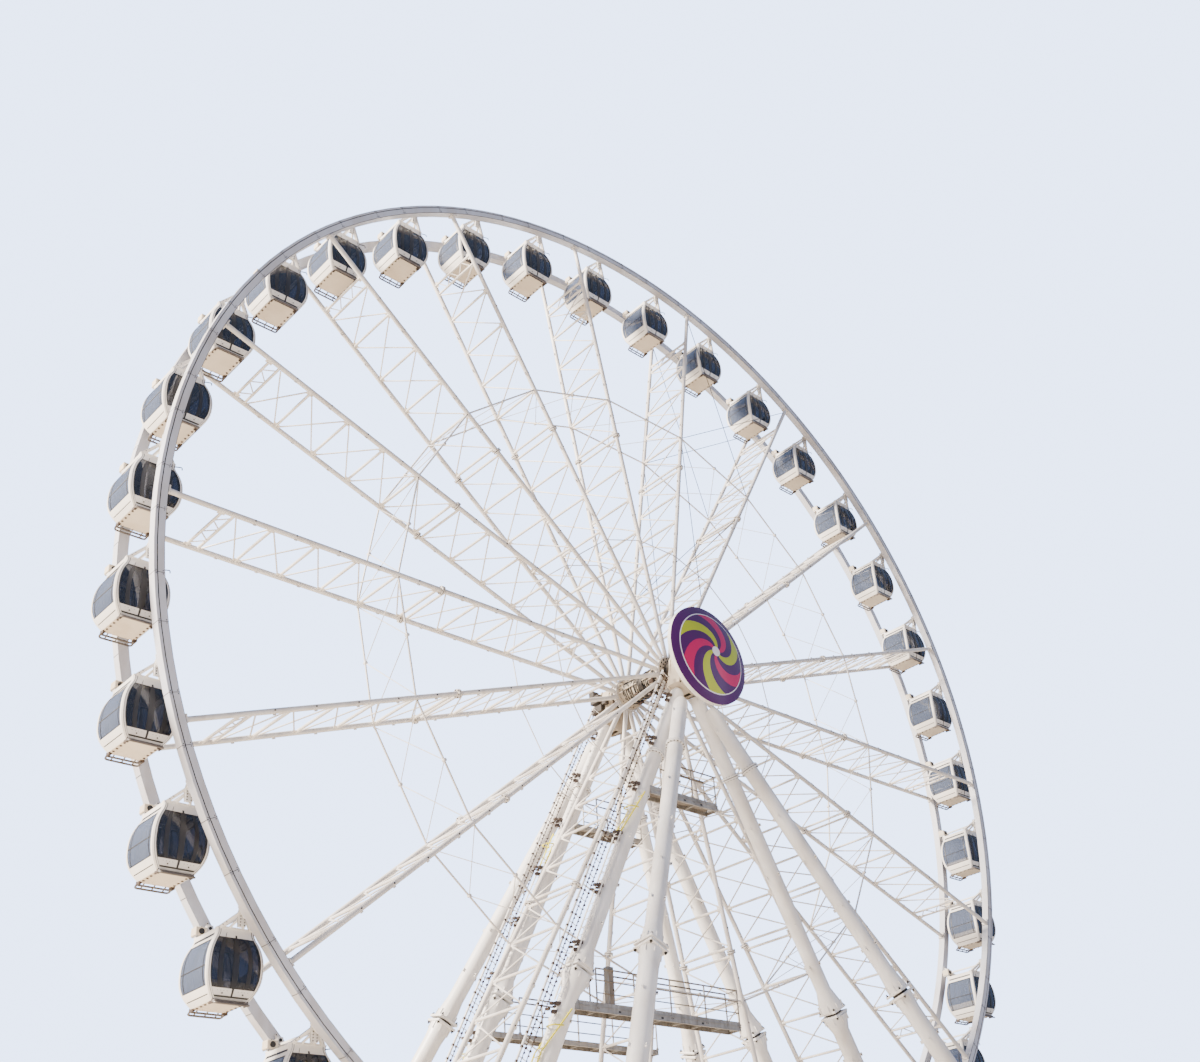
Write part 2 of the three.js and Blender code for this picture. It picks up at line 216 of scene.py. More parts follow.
BOLT_STEEL = painted("dark_zinc_plated_steel", "#38332E", "#1C1916", 0.45, metallic=0.4, grime=0.7)
GREASED = painted("greasy_machined_steel", "#3A342E", "#16120F", 0.4, metallic=0.4, grime=0.8)
SEAT = painted("dark_moulded_abs_seat", "#33333A", "#222226", 0.5, grime=0.3)
CEILING = painted("brown_vinyl_headlining", "#6E5D50", "#55473C", 0.6, grime=0.4)
ALUMINIUM = painted("mill_finish_aluminium", "#C9C9CB", "#96948F", 0.4, 150, metallic=0.7, grime=0.5)
print("paints and metals:", len(bpy.data.materials))

# %% [markdown]
# ## Glass
# The cabins have toughened glass with a body tint, grey-blue at the sides and darker in the doors. A tint is
# a colour in the glass, so light comes through darkened, and the surface still mirrors what is around it.
# Wavy patches of a lighter colour are mixed into the tint as a painted reflection. The side panes also carry
# a faint metal coating, which a higher refractive index stands for.

# %% The tinted glass
def tinted_glass(name, tint, painted_reflection, clear, index):
    """Thin body-tinted glass with a painted reflection, a lighter colour mixed into its tint in wavy patches.
    Clear is the share that passes, and a higher index mirrors more.
    """
    material, shader, place = new_material(name)
    wave = add_node(material, "ShaderNodeTexNoise", sockets={"Vector": place, "Scale": pattern_scale(900)})
    bump = add_node(material, "ShaderNodeBump", sockets={
        "Height": wave.outputs["Fac"], "Strength": 0.2, "Distance": 0.003 * SCALE})
    # The lighter colour mixed in here is a painted reflection, not a colour of the glass.
    shade = add_node(material, "ShaderNodeMix", {"data_type": "RGBA"}, {
        "Factor": wave.outputs["Fac"], "A": linear(tint), "B": linear(painted_reflection)})
    fill_sockets(material, shader, {
        "Base Color": shade.outputs["Result"], "Normal": bump.outputs["Normal"], "Roughness": 0.04,
        "IOR": index, "Transmission Weight": clear})
    return material


# The second colour of each glass is its painted reflection.
GLASS = tinted_glass("grey_blue_body_tinted_glass", "#93A0BC", "#AAB6CE", 0.8, 1.9)
DOOR_GLASS = tinted_glass("dark_grey_body_tinted_glass", "#6E727D", "#80838E", 0.95, 1.55)

# %% [markdown]
# ## Shaping helpers
# Almost every part of the wheel is one of a few workshop shapes: a bar between two points, a block, a
# plate cut to an outline, a ring turned about the axle, or a pressed sheet. Each helper adds one such
# shape to an open bmesh with Blender's own operators, and gives its faces a paint number.

# %% Bars, blocks, bolts and plates
def coat(verts, paint):
    """Gives the faces between these new vertices their paint number."""
    for face in {face for vert in verts for face in vert.link_faces}:
        face.material_index = paint


def facing(axis):
    """A rotation that turns +Z to an axis."""
    return Vector(axis).to_track_quat("Z", "Y").to_matrix().to_4x4()


def bar(bm, start, end, radius, sides=12, paint=0):
    """A round bar between two points."""
    start, end = Vector(start), Vector(end)
    made = bmesh.ops.create_cone(
        bm, cap_ends=True, segments=sides, radius1=radius, radius2=radius, depth=(end - start).length,
        matrix=Matrix.Translation((start + end) / 2) @ facing(end - start))
    coat(made["verts"], paint)


def disc(bm, centre, axis, half, radius, sides=24, paint=0):
    """A short round bar with half its thickness on each side of its centre."""
    bar(bm, centre - axis * half, centre + axis * half, radius, sides, paint)


def block(bm, centre, size, turn=None, paint=0, edge=0.0):
    """A box, turned if need be, with its edges eased."""
    matrix = Matrix.Translation(centre) @ (turn or Matrix()) @ Matrix.Diagonal((*size, 1))
    verts = bmesh.ops.create_cube(bm, size=1, matrix=matrix)["verts"]
    coat(verts, paint)
    if edge:
        edges = list({e for v in verts for e in v.link_edges})
        bmesh.ops.bevel(bm, geom=edges, offset=edge, offset_type="OFFSET", segments=1, profile=0.5,
                        affect="EDGES", material=-1)


def block_on(bm, seat, size, paint=0, edge=0.0):
    """A box at the origin of a turned frame."""
    block(bm, seat.translation, size, seat.to_3x3().to_4x4(), paint, edge)


def bolt(bm, place, axis, size, paint=0):
    """A hexagon head as high as two thirds of its radius, standing on a face."""
    axis = Vector(axis).normalized()
    bar(bm, place, Vector(place) + axis * size * 0.66, size, sides=6, paint=paint)


def bolt_ring(bm, centre, axis, radius, count, size, paint=0):
    """Bolts evenly round a circle on a face."""
    turn = facing(axis)
    for i in range(count):
        angle = 2 * math.pi * (i + 0.5) / count
        offset = turn @ Vector((radius * math.cos(angle), radius * math.sin(angle), 0))
        bolt(bm, Vector(centre) + offset, axis, size, paint)


def thicken(bm, faces, step):
    """Gives flat faces a thickness along a vector, and returns the points of their far side."""
    made = bmesh.ops.extrude_face_region(bm, geom=faces, use_keep_orig=True)
    moved = [item for item in made["geom"] if isinstance(item, bmesh.types.BMVert)]
    bmesh.ops.translate(bm, verts=moved, vec=step)
    return moved


def plate(bm, outline, thickness, paint=0):
    """A flat plate cut to an outline, thickened along a vector."""
    verts = [bm.verts.new(point) for point in outline]
    coat(verts + thicken(bm, [bm.faces.new(verts)], thickness), paint)


def holed_plate(bm, outline, hole, thickness):
    """A plate with a hole: both outlines are filled between, then thickened along a vector."""
    loops = [[bm.verts.new(point) for point in points] for points in (outline, hole)]
    edges = [bm.edges.new((a, b)) for loop in loops for a, b in zip(loop, loop[1:] + loop[:1])]
    made = bmesh.ops.triangle_fill(bm, use_beauty=True, edges=edges)
    thicken(bm, [item for item in made["geom"] if isinstance(item, bmesh.types.BMFace)], thickness)


def circle(centre, axis, radius, sides):
    """Points round a circle that faces an axis."""
    turn = facing(axis)
    angles = [2 * math.pi * i / sides for i in range(sides)]
    return [Vector(centre) + turn @ Vector((radius * math.cos(a), radius * math.sin(a), 0)) for a in angles]


# %% [markdown]
# A turned ring is a closed profile spun about the axle. Everything that bends or swells is lofted: a row of
# closed loops, each with the same number of points, is skinned from one to the next and closed at both ends.

# %% Rings, lofts and bent tubes
def ring(bm, profile, steps, centre=HUB, paint=0, whole=True):
    """Spins a profile of (radius, y) points about the axle's direction and returns the faces."""
    centre = Vector(centre)
    verts = [bm.verts.new(centre + Vector((radius, y, 0))) for radius, y in profile]
    pairs = list(zip(verts, verts[1:])) + ([(verts[-1], verts[0])] if whole else [])
    edges = [bm.edges.new(pair) for pair in pairs]
    before = set(bm.faces)
    bmesh.ops.spin(bm, geom=verts + edges, cent=centre, axis=(0, 1, 0), dvec=(0, 0, 0), angle=2 * math.pi,
                   steps=steps, use_merge=True, use_duplicate=False)
    made = [face for face in bm.faces if face not in before]
    for face in made:
        face.material_index = paint
    return made


def loft(bm, rows, paint=0):
    """Skins closed loops of points, one after another, and closes both ends."""
    loops = [[bm.verts.new(point) for point in row] for row in rows]
    count = len(loops[0])
    faces = [bm.faces.new((one[i], one[(i + 1) % count], two[(i + 1) % count], two[i]))
             for one, two in zip(loops, loops[1:]) for i in range(count)]
    faces += [bm.faces.new(loops[0]), bm.faces.new(loops[-1])]
    for face in faces:
        face.material_index = paint


def rounded(points, radius, steps=3):
    """A path with each inner corner cut by a short arc."""
    path = [Vector(points[0])]
    for before, corner, after in zip(points, points[1:], points[2:]):
        before, corner, after = Vector(before), Vector(corner), Vector(after)
        first = corner + (before - corner).normalized() * radius
        last = corner + (after - corner).normalized() * radius
        for i in range(steps + 1):
            t = i / steps
            path.append(first.lerp(corner, t).lerp(corner.lerp(last, t), t))
    return path + [Vector(points[-1])]


def bent_tube(bm, path, radius, sides=8, paint=0):
    """A tube along a path that stays near one plane."""
    rows = []
    for i, point in enumerate(path):
        ahead = path[min(i + 1, len(path) - 1)] - path[max(i - 1, 0)]
        rows.append(circle(point, ahead, radius, sides))
    loft(bm, rows, paint)


def beam(bm, start, end, width, height, upright=(0, 1, 0), paint=0):
    """A square-cornered bar between two points; its width lies along the upright direction."""
    start, end = Vector(start), Vector(end)
    ahead = (end - start).normalized()
    side = Vector(upright) - ahead * ahead.dot(Vector(upright))
    side.normalize()
    turn = Matrix((side, ahead.cross(side), ahead)).transposed().to_4x4()
    block(bm, (start + end) / 2, (width, height, (end - start).length), turn, paint)


# %% [markdown]
# ## Finishing a piece
# Each piece ends the same way. Its faces are turned outwards, it is brought to the model's size, and flat
# faces stay flat while curved ones are shaded smooth. Then it gets its paints, it is tied to the body that it
# moves with, and the CAD nodes that it stands for are hidden.

# %% From a bmesh to a finished piece
SMOOTH_BELOW = math.radians(32)


def finish_mesh(bm, name, materials):
    """Closes a bmesh and returns it as a mesh at the model's scale."""
    bmesh.ops.recalc_face_normals(bm, faces=bm.faces)
    bmesh.ops.scale(bm, vec=(SCALE, SCALE, SCALE), verts=bm.verts)
    bmesh.ops.triangulate(bm, faces=[face for face in bm.faces if len(face.verts) > 4])
    mesh = bpy.data.meshes.new(name)
    bm.to_mesh(mesh)
    bm.free()
    for material in materials:
        mesh.materials.append(material)
    mesh.shade_smooth()
    mesh.set_sharp_from_angle(angle=SMOOTH_BELOW)
    return mesh


def place_piece(name, mesh, body, stands_for=()):
    """Puts a mesh in the scene as a piece that rides on a body."""
    piece = bpy.data.objects.new(name, mesh)
    bpy.context.scene.collection.objects.link(piece)
    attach(piece, body)
    if stands_for:
        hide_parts(*stands_for)


def new_piece(bm, name, materials, body, stands_for=()):
    """Finishes a bmesh and places it as a piece."""
    place_piece(name, finish_mesh(bm, name, materials), body, stands_for)


def tally(*names):
    """Prints how many triangles the pieces that start with a name have."""
    for name in names:
        pieces = [o for o in bpy.data.objects if o.name.startswith(name) and "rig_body" in o]
        count = sum(len(p.vertices) - 2 for o in pieces for p in o.data.polygons)
        print(f"{name}: {len(pieces)} pieces, {count} triangles")


# %% [markdown]
# ## Floor and light
# The floor is plain, pale and warm, so that it sends a beige light up under the cabins. A key light stands
# high on the left and a little behind, so faces on that side are bright and the front faces stay in a cool
# shade. The world looks bright to the camera but lights the wheel less, which keeps the shade deep.

# %% Floor, world and lights
FLOOR_HALF = 150
LIT_BY_WORLD, SEEN_WORLD = 0.7, 6.0

ground = bmesh.new()
bmesh.ops.create_grid(ground, x_segments=1, y_segments=1, size=FLOOR_HALF)
floor = bpy.data.objects.new("floor", finish_mesh(ground, "floor", [painted(
    "pale_warm_backdrop", "#DCD0BE", "#D4C7B2", 0.8, streak_mm=9000, grime=0.4)]))
bpy.context.scene.collection.objects.link(floor)
world = bpy.data.worlds.new("pale_surround")
world.use_nodes = True
surround = world.node_tree.nodes["Background"]
seen = add_node(world, "ShaderNodeLightPath").outputs["Is Camera Ray"]
tone = add_node(world, "ShaderNodeMix", {"data_type": "RGBA"}, {
    "Factor": seen, "A": linear("#B6CCF8"), "B": linear("#BBD0F8")})
strength = add_node(world, "ShaderNodeMapRange", sockets={
    "Value": seen, "To Min": LIT_BY_WORLD, "To Max": SEEN_WORLD})
fill_sockets(world, surround, {"Color": tone.outputs["Result"], "Strength": strength.outputs["Result"]})
bpy.context.scene.world = world


def area_light(name, place, energy, size, colour):
    """A soft light that looks at the hub."""
    data = bpy.data.lights.new(name, "AREA")
    data.energy, data.size, data.color = energy, size, linear(colour)[:3]
    light = bpy.data.objects.new(name, data)
    bpy.context.scene.collection.objects.link(light)
    turn = (Vector(place) - HUB * SCALE).to_track_quat("Z", "Y").to_matrix().to_4x4()
    light.matrix_world = Matrix.Translation(place) @ turn
    return light


key = area_light("key", (-9.5, 3.2, 8.0), 8200, 2.6, "#FFF2E2")
side = area_light("side", (7.0, -8.0, 4.0), 120, 5.0, "#D6E4FF")
print("lights:", len(bpy.data.lights))

# %% [markdown]
# ## The rims
# Each rim is a welded box section in segments. A dark seam runs round the middle of its outer face and
# another along the inner edge, and a bolted joint shows as a thin dark line on both sides of every cabin. On
# the inner face a base plate and four splayed arms carry the bearing that a cabin's trunnion turns in.

# %% Rims
# The box section as (radius, distance from the rim's middle plane), with a groove for each seam.
GROOVED = [(RIM_IN, -RIM_HALF), (RIM_OUT, -RIM_HALF), (RIM_OUT, RIM_HALF), (20.745, RIM_HALF), (20.745, 0.14),
           (20.715, 0.14), (20.715, RIM_HALF), (20.515, RIM_HALF), (20.515, 0.145), (RIM_IN, 0.145)]
PIVOT_ANGLES = [CABIN_STEP / 2 + CABIN_STEP * i for i in range(CABINS)]
JOINT_OFFSET = 2.9


def on_wheel(angle, radius, y):
    """A turned frame at a point of the wheel: X outwards, Y along the axle, Z along the rim."""
    turn = Matrix.Rotation(-math.radians(angle), 4, "Y")
    return Matrix.Translation(polar(radius, angle, y)) @ turn


def rim_joint(bm, angle, end):
    """A dark joint line round a rim's outer face and edge, with its bolts."""
    seat = on_wheel(angle, (RIM_IN + RIM_OUT) / 2, end * (RIM_Y + 0.152))
    block_on(bm, seat, (0.33, 0.01, 0.016), 1)
    block_on(bm, on_wheel(angle, 20.826, end * RIM_Y), (0.01, 0.31, 0.016), 1)
    for out in (0.11, -0.1):
        for along in (0.05, -0.05):
            bolt(bm, seat @ Vector((out, end * 0.002, along)), (0, end, 0), 0.016, 2)


def cabin_bearing(bm, angle, end):
    """The base plate, splayed arms and bearing that hold one trunnion."""
    inside, mouth = RIM_Y - RIM_HALF, 0.97
    hub = on_wheel(angle, PIVOT, 0)
    flat = hub.to_3x3().to_4x4()
    along_rim = flat @ Vector((0, 0, 1))
    for out in (-0.1, 0.1):
        block(bm, hub @ Vector((out, end * (inside - 0.015), 0)), (0.08, 0.03, 0.36), flat, 3, edge=0.006)
        for along in (-0.13, 0.13):
            bolt(bm, hub @ Vector((out, end * (inside - 0.03), along * 1.15)), (0, -end, 0), 0.02, 2)
            beam(bm, hub @ Vector((out * 0.9, end * (inside - 0.02), along * 0.8)),
                 hub @ Vector((out * 0.7, end * mouth, along * 0.45)), 0.05, 0.024, along_rim, 3)
    profile = [(0.056, mouth), (0.085, mouth), (0.1, 0.98), (0.1, 1.03), (0.085, 1.04), (0.056, 1.04)]
    ring(bm, [(radius, end * y) for radius, y in profile], 16, hub.translation, 3)


for end, end_name in ENDS:
    bm = bmesh.new()
    ring(bm, [(radius, end * (RIM_Y + out)) for radius, out in GROOVED], 144)
    bm.normal_update()
    for face in bm.faces:
        offset = face.calc_center_median() - HUB
        if RIM_Y + 0.135 < abs(offset.y) < RIM_Y + 0.152:
            face.material_index = 1
    for angle in PIVOT_ANGLES:
        cabin_bearing(bm, angle, end)
        rim_joint(bm, angle - JOINT_OFFSET, end)
        rim_joint(bm, angle + JOINT_OFFSET, end)
    new_piece(bm, f"{end_name}_rim_box", [RIM_PAINT, RUBBER, BOLT_STEEL, WHITE_PAINT], "wheel",
              [f"{end_name}_rim"])
tally("front_rim_box", "rear_rim_box")

# %% [markdown]
# ## The spokes
# A spoke is a narrow truss: a front and a rear tube with rungs between them and a crossed pair of thin rods
# in every bay. Each tube is made in two lengths, flanged together near the middle. Outside the outermost rung
# there is nothing between the tubes, because the cabins swing through there.

# %% One spoke
RUNGS = [18.7, 18.32, 17.05, 15.5, 14.0, TIE_RING, 10.9, 10.6, 9.2, 7.7, 6.2, 4.7, 3.2]
PLAIN_RUNGS = (18.32, 10.6)
CHORD = 0.0875
ROOT, FLANGE, TIP = 0.72, 10.75, 20.49


def spoke(bm, angle):
    """A whole spoke at an angle, paint 0, with dark fittings in paint 1."""
    def at(radius, y):
        return polar(radius, angle, y)

    flat = on_wheel(angle, 0, 0).to_3x3().to_4x4()
    out, along = flat @ Vector((1, 0, 0)), flat @ Vector((0, 0, 1))
    bays = [(low, high) for low, high in zip(RUNGS[1:], RUNGS) if high - low > 1]
    for end in (-1, 1):
        y = end * RIM_Y
        bar(bm, at(0.64, y), at(ROOT, y), 0.05)
        bar(bm, at(ROOT, y), at(FLANGE - 0.05, y), CHORD)
        bar(bm, at(FLANGE + 0.05, y), at(TIP, y), CHORD)
        for way in (-1, 1):
            disc(bm, at(FLANGE + way * 0.035, y), out, 0.02, 0.16, 12)
            bolt_ring(bm, at(FLANGE + way * 0.055, y), out * way, 0.13, 6, 0.024, 1)
        disc(bm, at(FLANGE, y), out, 0.015, 0.14, 12, 1)
        block(bm, at(20.46, y), (0.05, 0.28, 0.26), flat, 0, edge=0.006)
        block(bm, at(0.655, y), (0.06, 0.2, 0.2), flat, 0, edge=0.006)
        for dy in (-0.11, 0.11):
            for dz in (-0.1, 0.1):
                bolt(bm, at(20.435, y) + flat @ Vector((0, dy, dz)), -out, 0.018, 1)
        for radius in RUNGS:
            if radius not in PLAIN_RUNGS:
                block(bm, at(radius, y - end * 0.14), (0.24, 0.14, 0.014), flat)
        for low, high in bays:
            middle = at((low + high) / 2, y)
            block(bm, middle + along * (CHORD + 0.012), (0.1, 0.03, 0.05), flat)
            bolt(bm, middle + Vector((0, end * CHORD, 0)), (0, end, 0), 0.026, 1)
    for radius in RUNGS:
        bar(bm, at(radius, -RIM_Y + 0.06), at(radius, RIM_Y - 0.06), 0.05, 8)
    near = RIM_Y - 0.1
    for low, high in bays:
        bar(bm, at(low + 0.08, -near), at(high - 0.08, near), 0.028, 6)
        bar(bm, at(low + 0.08, near), at(high - 0.08, -near) + along * 0.05, 0.028, 6)
    for i in range(5):
        left = -0.95 + 0.38 * i
        inner, outer = (18.32, 18.7) if i % 2 == 0 else (18.7, 18.32)
        bar(bm, at(inner, left), at(outer, left + 0.38), 0.022, 6)


# %% [markdown]
# Two rings of thin ties hold the spokes apart, one at the middle and one nearer the hub. In each bay of the
# middle ring a crossed pair of rods joins the front tie to the rear one. Dark cables brace one bay, as in the
# photograph.

# %% Ties and the nine pairs of spokes
def ties(bm, angle):
    """The ties from a spoke to the next one."""
    for end in (-1, 1):
        y = end * RIM_Y
        for out, gap, radius, sides in ((TIE_RING, 0.3, 0.035, 8), (INNER_RING, 0.6, 0.022, 6)):
            bar(bm, polar(out, angle + gap, y), polar(out, angle + SPOKE_STEP - gap, y), radius, sides)
        bolt(bm, polar(TIE_RING, angle + 0.5, y + end * 0.035), (0, end, 0), 0.022, 1)
        middle = (polar(TIE_RING, angle, y) + polar(TIE_RING, angle + SPOKE_STEP, y)) / 2
        disc(bm, middle, AXLE, 0.06, 0.06, 8)
        for near in (0.5, SPOKE_STEP - 0.5):
            bar(bm, polar(TIE_RING, angle + near, y), middle - Vector((0, 2 * y, 0)), 0.016, 6)


# Each cable runs from a radius on the spoke at 60 degrees to a radius on the one at 80.
CABLES = [(TIE_RING, 20.3), (20.3, TIE_RING), (4.7, TIE_RING), (10.9, 4.7)]
CABLE_BAY = 60

for pair in range(SPOKES // 2):
    bm = bmesh.new()
    for angle in (2 * pair * SPOKE_STEP, (2 * pair + 1) * SPOKE_STEP):
        spoke(bm, angle)
        ties(bm, angle)
        if angle == CABLE_BAY:
            for y in (-RIM_Y, RIM_Y):
                for near, far in CABLES:
                    bar(bm, polar(near, angle, y), polar(far, angle + SPOKE_STEP, y), 0.016, 6, 1)
    new_piece(bm, f"spoke_pair_{pair + 1}", [SPOKE_PAINT, BOLT_STEEL], "wheel",
              [f"spokes_{pair + 1}"])
tally("spoke_pair")

# %% [markdown]
# ## The hub
# The spindle is a turned forging. Each flange has a ring of big dark studs on its outer face, and a dark
# clamped joint shows at the middle of the barrel. Black cables are wound round the barrel, and feed boxes for
# the lamps are strapped to it. The bare journals run in the bearing heads.

# %% Spindle and flanges
JOURNAL_FROM, JOINT_HALF = 1.6, 0.12

bm = bmesh.new()
barrel = [(0.0, -2.29), (0.38, -2.29), (0.395, -2.27), (0.395, -1.325), (0.52, -1.325), (0.535, -1.30),
          (0.60, -1.30), (0.615, -1.28), (0.615, -1.09), (0.60, -1.07), (0.50, -1.07), (0.47, -1.0),
          (0.43, -0.86), (0.43, -0.12), (0.49, -0.12), (0.49, -0.015), (0.45, -0.01)]
ring(bm, barrel + [(radius, -y) for radius, y in reversed(barrel)], 48, whole=False)
for face in bm.faces:
    offset = face.calc_center_median() - HUB
    if abs(offset.y) > JOURNAL_FROM:
        face.material_index = 2
    if abs(offset.y) < JOINT_HALF:
        face.material_index = 1
for end in (-1, 1):
    for y, way, radius, size in ((1.325, 1, 0.46, 0.034), (1.30, 1, 0.57, 0.036),
                                 (JOINT_HALF, 1, 0.462, 0.026), (1.07, -1, 0.55, 0.03)):
        bolt_ring(bm, HUB + AXLE * end * y, AXLE * end * way, radius, 18, size, 1)
    for k in range(SPOKES):
        block_on(bm, on_wheel(SPOKE_STEP * (k + 0.5), 0.545, end * 0.99), (0.09, 0.16, 0.02))
    for k in range(6):
        block_on(bm, on_wheel(60 * k, 0.47, end * 0.5), (0.07, 0.7, 0.025), edge=0.004)
for k in range(4):
    turns = [(40 * i + 90 * k, -0.9 + 0.45 * k + 0.005 * i * (1 + 0.3 * k)) for i in range(54)]
    path = [polar(0.475 + 0.025 * math.sin(0.9 * i), angle, y) for i, (angle, y) in enumerate(turns)]
    bent_tube(bm, path, 0.022, 5, 3)
for angle, y, size in ((205, -0.66, (0.12, 0.22, 0.16)), (262, -0.2, (0.1, 0.16, 0.2)),
                       (230, 0.3, (0.12, 0.22, 0.16)), (290, 0.62, (0.1, 0.2, 0.18))):
    block_on(bm, on_wheel(angle, 0.52, y), size, 4, edge=0.012)
new_piece(bm, "spindle_with_flanges", [CREAM_PAINT, BOLT_STEEL, GREASED, RUBBER, BRACKET], "wheel",
          ["hub_spindle"])
tally("spindle_with_flanges")

# %% [markdown]
# ## The cabins
# A cabin is a small room that swells in the middle, both across the wheel and along the axle. Every panel
# follows the same two curves, so the shape is kept in two short functions, and each band of a wall is a loft
# through a few heights. Heights are measured from the pivot, which is where the cabin hangs.

# %% The shape of a cabin
TOP, ROOF, FLOOR, WAIST = -0.42, -0.58, -2.29, -1.45
DOOR_TOP, DOOR_FOOT, KICK_MIDDLE = -0.67, -1.985, -2.075


def swell(z, widest, roof_share, floor_share):
    """A half width at a height: full at the waist, narrower at the floor and from the roof band up."""
    above = (z - WAIST) / (ROOF - WAIST)
    share = roof_share if above > 0 else floor_share
    t = above if above > 0 else (z - WAIST) / (FLOOR - WAIST)
    return widest * (1 - (1 - share) * min(t, 1) ** 2.4)


def half_width(z):
    return swell(z, 0.805, 0.675, 0.62)


def half_depth(z):
    return swell(z, 0.787, 0.83, 0.735)


def heights(low, high, step=0.13):
    """Evenly spaced heights from one to another."""
    count = max(1, math.ceil((high - low) / step))
    return [low + (high - low) * i / count for i in range(count + 1)]


def side_band(bm, side, low, high, paint, back=0.0, thickness=0.03):
    """A band of a side wall between its corner posts; back sets it behind the skin."""
    rows = []
    for z in heights(low, high):
        x, y = side * (half_width(z) - back), half_depth(z) - 0.11
        rows.append([Vector((x, -y, z)), Vector((x, y, z)),
                     Vector((x - side * thickness, y, z)), Vector((x - side * thickness, -y, z))])
    loft(bm, rows, paint)


def end_band(bm, end, low, high, paint, left=-1, right=1, back=0.0, thickness=0.03):
    """A band of a door wall; left and right are shares of the half width where it starts and stops."""
    rows = []
    for z in heights(low, high):
        edge, y = half_width(z) - 0.1, end * (half_depth(z) - back)
        behind = y - end * thickness
        rows.append([Vector((left * edge, y, z)), Vector((right * edge, y, z)),
                     Vector((right * edge, behind, z)), Vector((left * edge, behind, z))])
    loft(bm, rows, paint)


def corner_post(bm, side, end):
    """A hooped corner post with two dark seals on its face."""
    post = [(0.10, 0.0), (0.035, 0.0), (0.0, 0.035), (0.0, 0.11), (0.05, 0.11), (0.05, 0.05), (0.10, 0.05)]
    seals = [[(a, -0.002), (b, -0.002), (b, 0.02), (a, 0.02)] for a, b in ((0.046, 0.055), (0.098, 0.112))]
    for section, paint in ((post, 0), (seals[0], 2), (seals[1], 2)):
        loft(bm, [[Vector((side * (half_width(z) - a), end * (half_depth(z) - b), z)) for a, b in section]
                  for z in heights(FLOOR, TOP, 0.115)], paint)


# %% [markdown]
# A side wall has a black roof rail, two panes with a seal between them, and a white sill. A door wall has a
# white header, two sliding leaves with black stiles, and two white kick panels above the sill.

# %% Walls, floor and roof
def cabin_walls(bm):
    """Paints: 0 gelcoat, 1 black, 2 rubber, 3 beige with painted bounce light, 4 bolts, 6 aluminium, 8
    bracket, 9 ceiling.
    """
    for side in (-1, 1):
        for end in (-1, 1):
            corner_post(bm, side, end)
        for low, high, paint, back in (
                (-0.54, TOP, 0, 0.0), (-0.60, -0.54, 1, -0.004), (-0.715, -0.60, 0, 0.0),
                (-0.74, -0.715, 1, 0.004), (-1.45, -1.425, 2, 0.004), (-1.95, -1.925, 1, 0.004),
                (-2.13, -1.95, 0, 0.0), (-2.155, -2.13, 2, 0.006), (FLOOR, -2.155, 0, 0.0)):
            side_band(bm, side, low, high, paint, back)
        for y in (-0.53, 0.53):
            loft(bm, [[Vector((side * (half_width(z) - a), y + b, z))
                       for a, b in ((0.008, -0.018), (0.008, 0.018), (0.03, 0.018), (0.03, -0.018))]
                      for z in heights(-1.93, -0.735)], 1)
    for end in (-1, 1):
        end_band(bm, end, -0.52, TOP, 0, back=0.012)
        end_band(bm, end, -0.655, -0.52, 0)
        end_band(bm, end, -0.655, -0.525, 2, -0.612, -0.588, back=-0.003, thickness=0.01)
        end_band(bm, end, -0.66, -0.585, 1, -0.05, 0.05, back=-0.012)
        end_band(bm, end, -0.68, -0.655, 1, back=0.006)
        for left, right in ((-1.0, -0.95), (-0.70, -0.52), (-0.12, 0.12), (0.50, 0.66), (0.95, 1.0)):
            end_band(bm, end, DOOR_FOOT + 0.01, DOOR_TOP, 1, left, right, back=0.004, thickness=0.035)
        end_band(bm, end, -2.0, -1.97, 1, back=0.006)
        for left, right in ((-0.99, -0.055), (0.055, 0.99)):
            end_band(bm, end, -2.16, -1.99, 0, left, right, back=-0.004)
            y = end * (half_depth(KICK_MIDDLE) + 0.002)
            for along, up_by in ((-0.24, 0.04), (-0.08, 0.04), (0.08, 0.04), (0.24, 0.04), (0.0, -0.04)):
                x = ((left + right) / 2 + along) * (half_width(KICK_MIDDLE) - 0.1)
                bolt(bm, (x, y, KICK_MIDDLE + up_by), (0, end, 0), 0.02, 4)
        end_band(bm, end, -2.165, DOOR_FOOT, 1, -0.055, 0.055)
        end_band(bm, end, -2.205, -2.165, 1, -0.98, 0.98, back=-0.006)
        end_band(bm, end, -2.255, -2.205, 6, back=-0.004)
        # The black band below the sill is a painted shadow of the sill.
        end_band(bm, end, FLOOR, -2.255, 1, back=0.006)
    # The floor plate's beige is partly painted bounce light from the floor below.
    block(bm, (0, 0, -2.265), (0.98, 1.14, 0.06), paint=3, edge=0.008)
    for side in (-1, 1):
        for y in (-0.33, -0.11, 0.11, 0.33):
            bolt(bm, (side * 0.43, y, -2.293), (0, 0, -1), 0.035, 8)
        for end in (-1, 1):
            block(bm, (side * 0.45, end * 0.54, -2.30), (0.1, 0.14, 0.06), paint=8, edge=0.008)
            block(bm, (side * 0.485, end * 0.53, -2.31), (0.035, 0.2, 0.11), paint=8, edge=0.006)
            bolt(bm, (side * 0.44, end * 0.52, -2.33), (0, 0, -1), 0.03, 4)
    roof = [(-0.46, 0.03), (TOP, 0.0), (-0.40, 0.04), (-0.385, 0.14), (-0.375, 0.28)]
    loft(bm, [[Vector((sx * (0.54 - inset), sy * (0.65 - inset), z)) for sx, sy in
               ((-1, -1), (1, -1), (1, 1), (-1, 1))] for z, inset in roof])
    block(bm, (0, 0, -0.52), (1.06, 1.26, 0.03), paint=9)


# %% [markdown]
# A hanger at each end is a wide triangle that leans outwards from the roof's corners to an upright bolted
# fork, where the trunnion is. Below the doors a bent double tube keeps feet and platform apart. A small air
# conditioner stands at the rear left corner of the roof, and a hooked antenna at the front right.

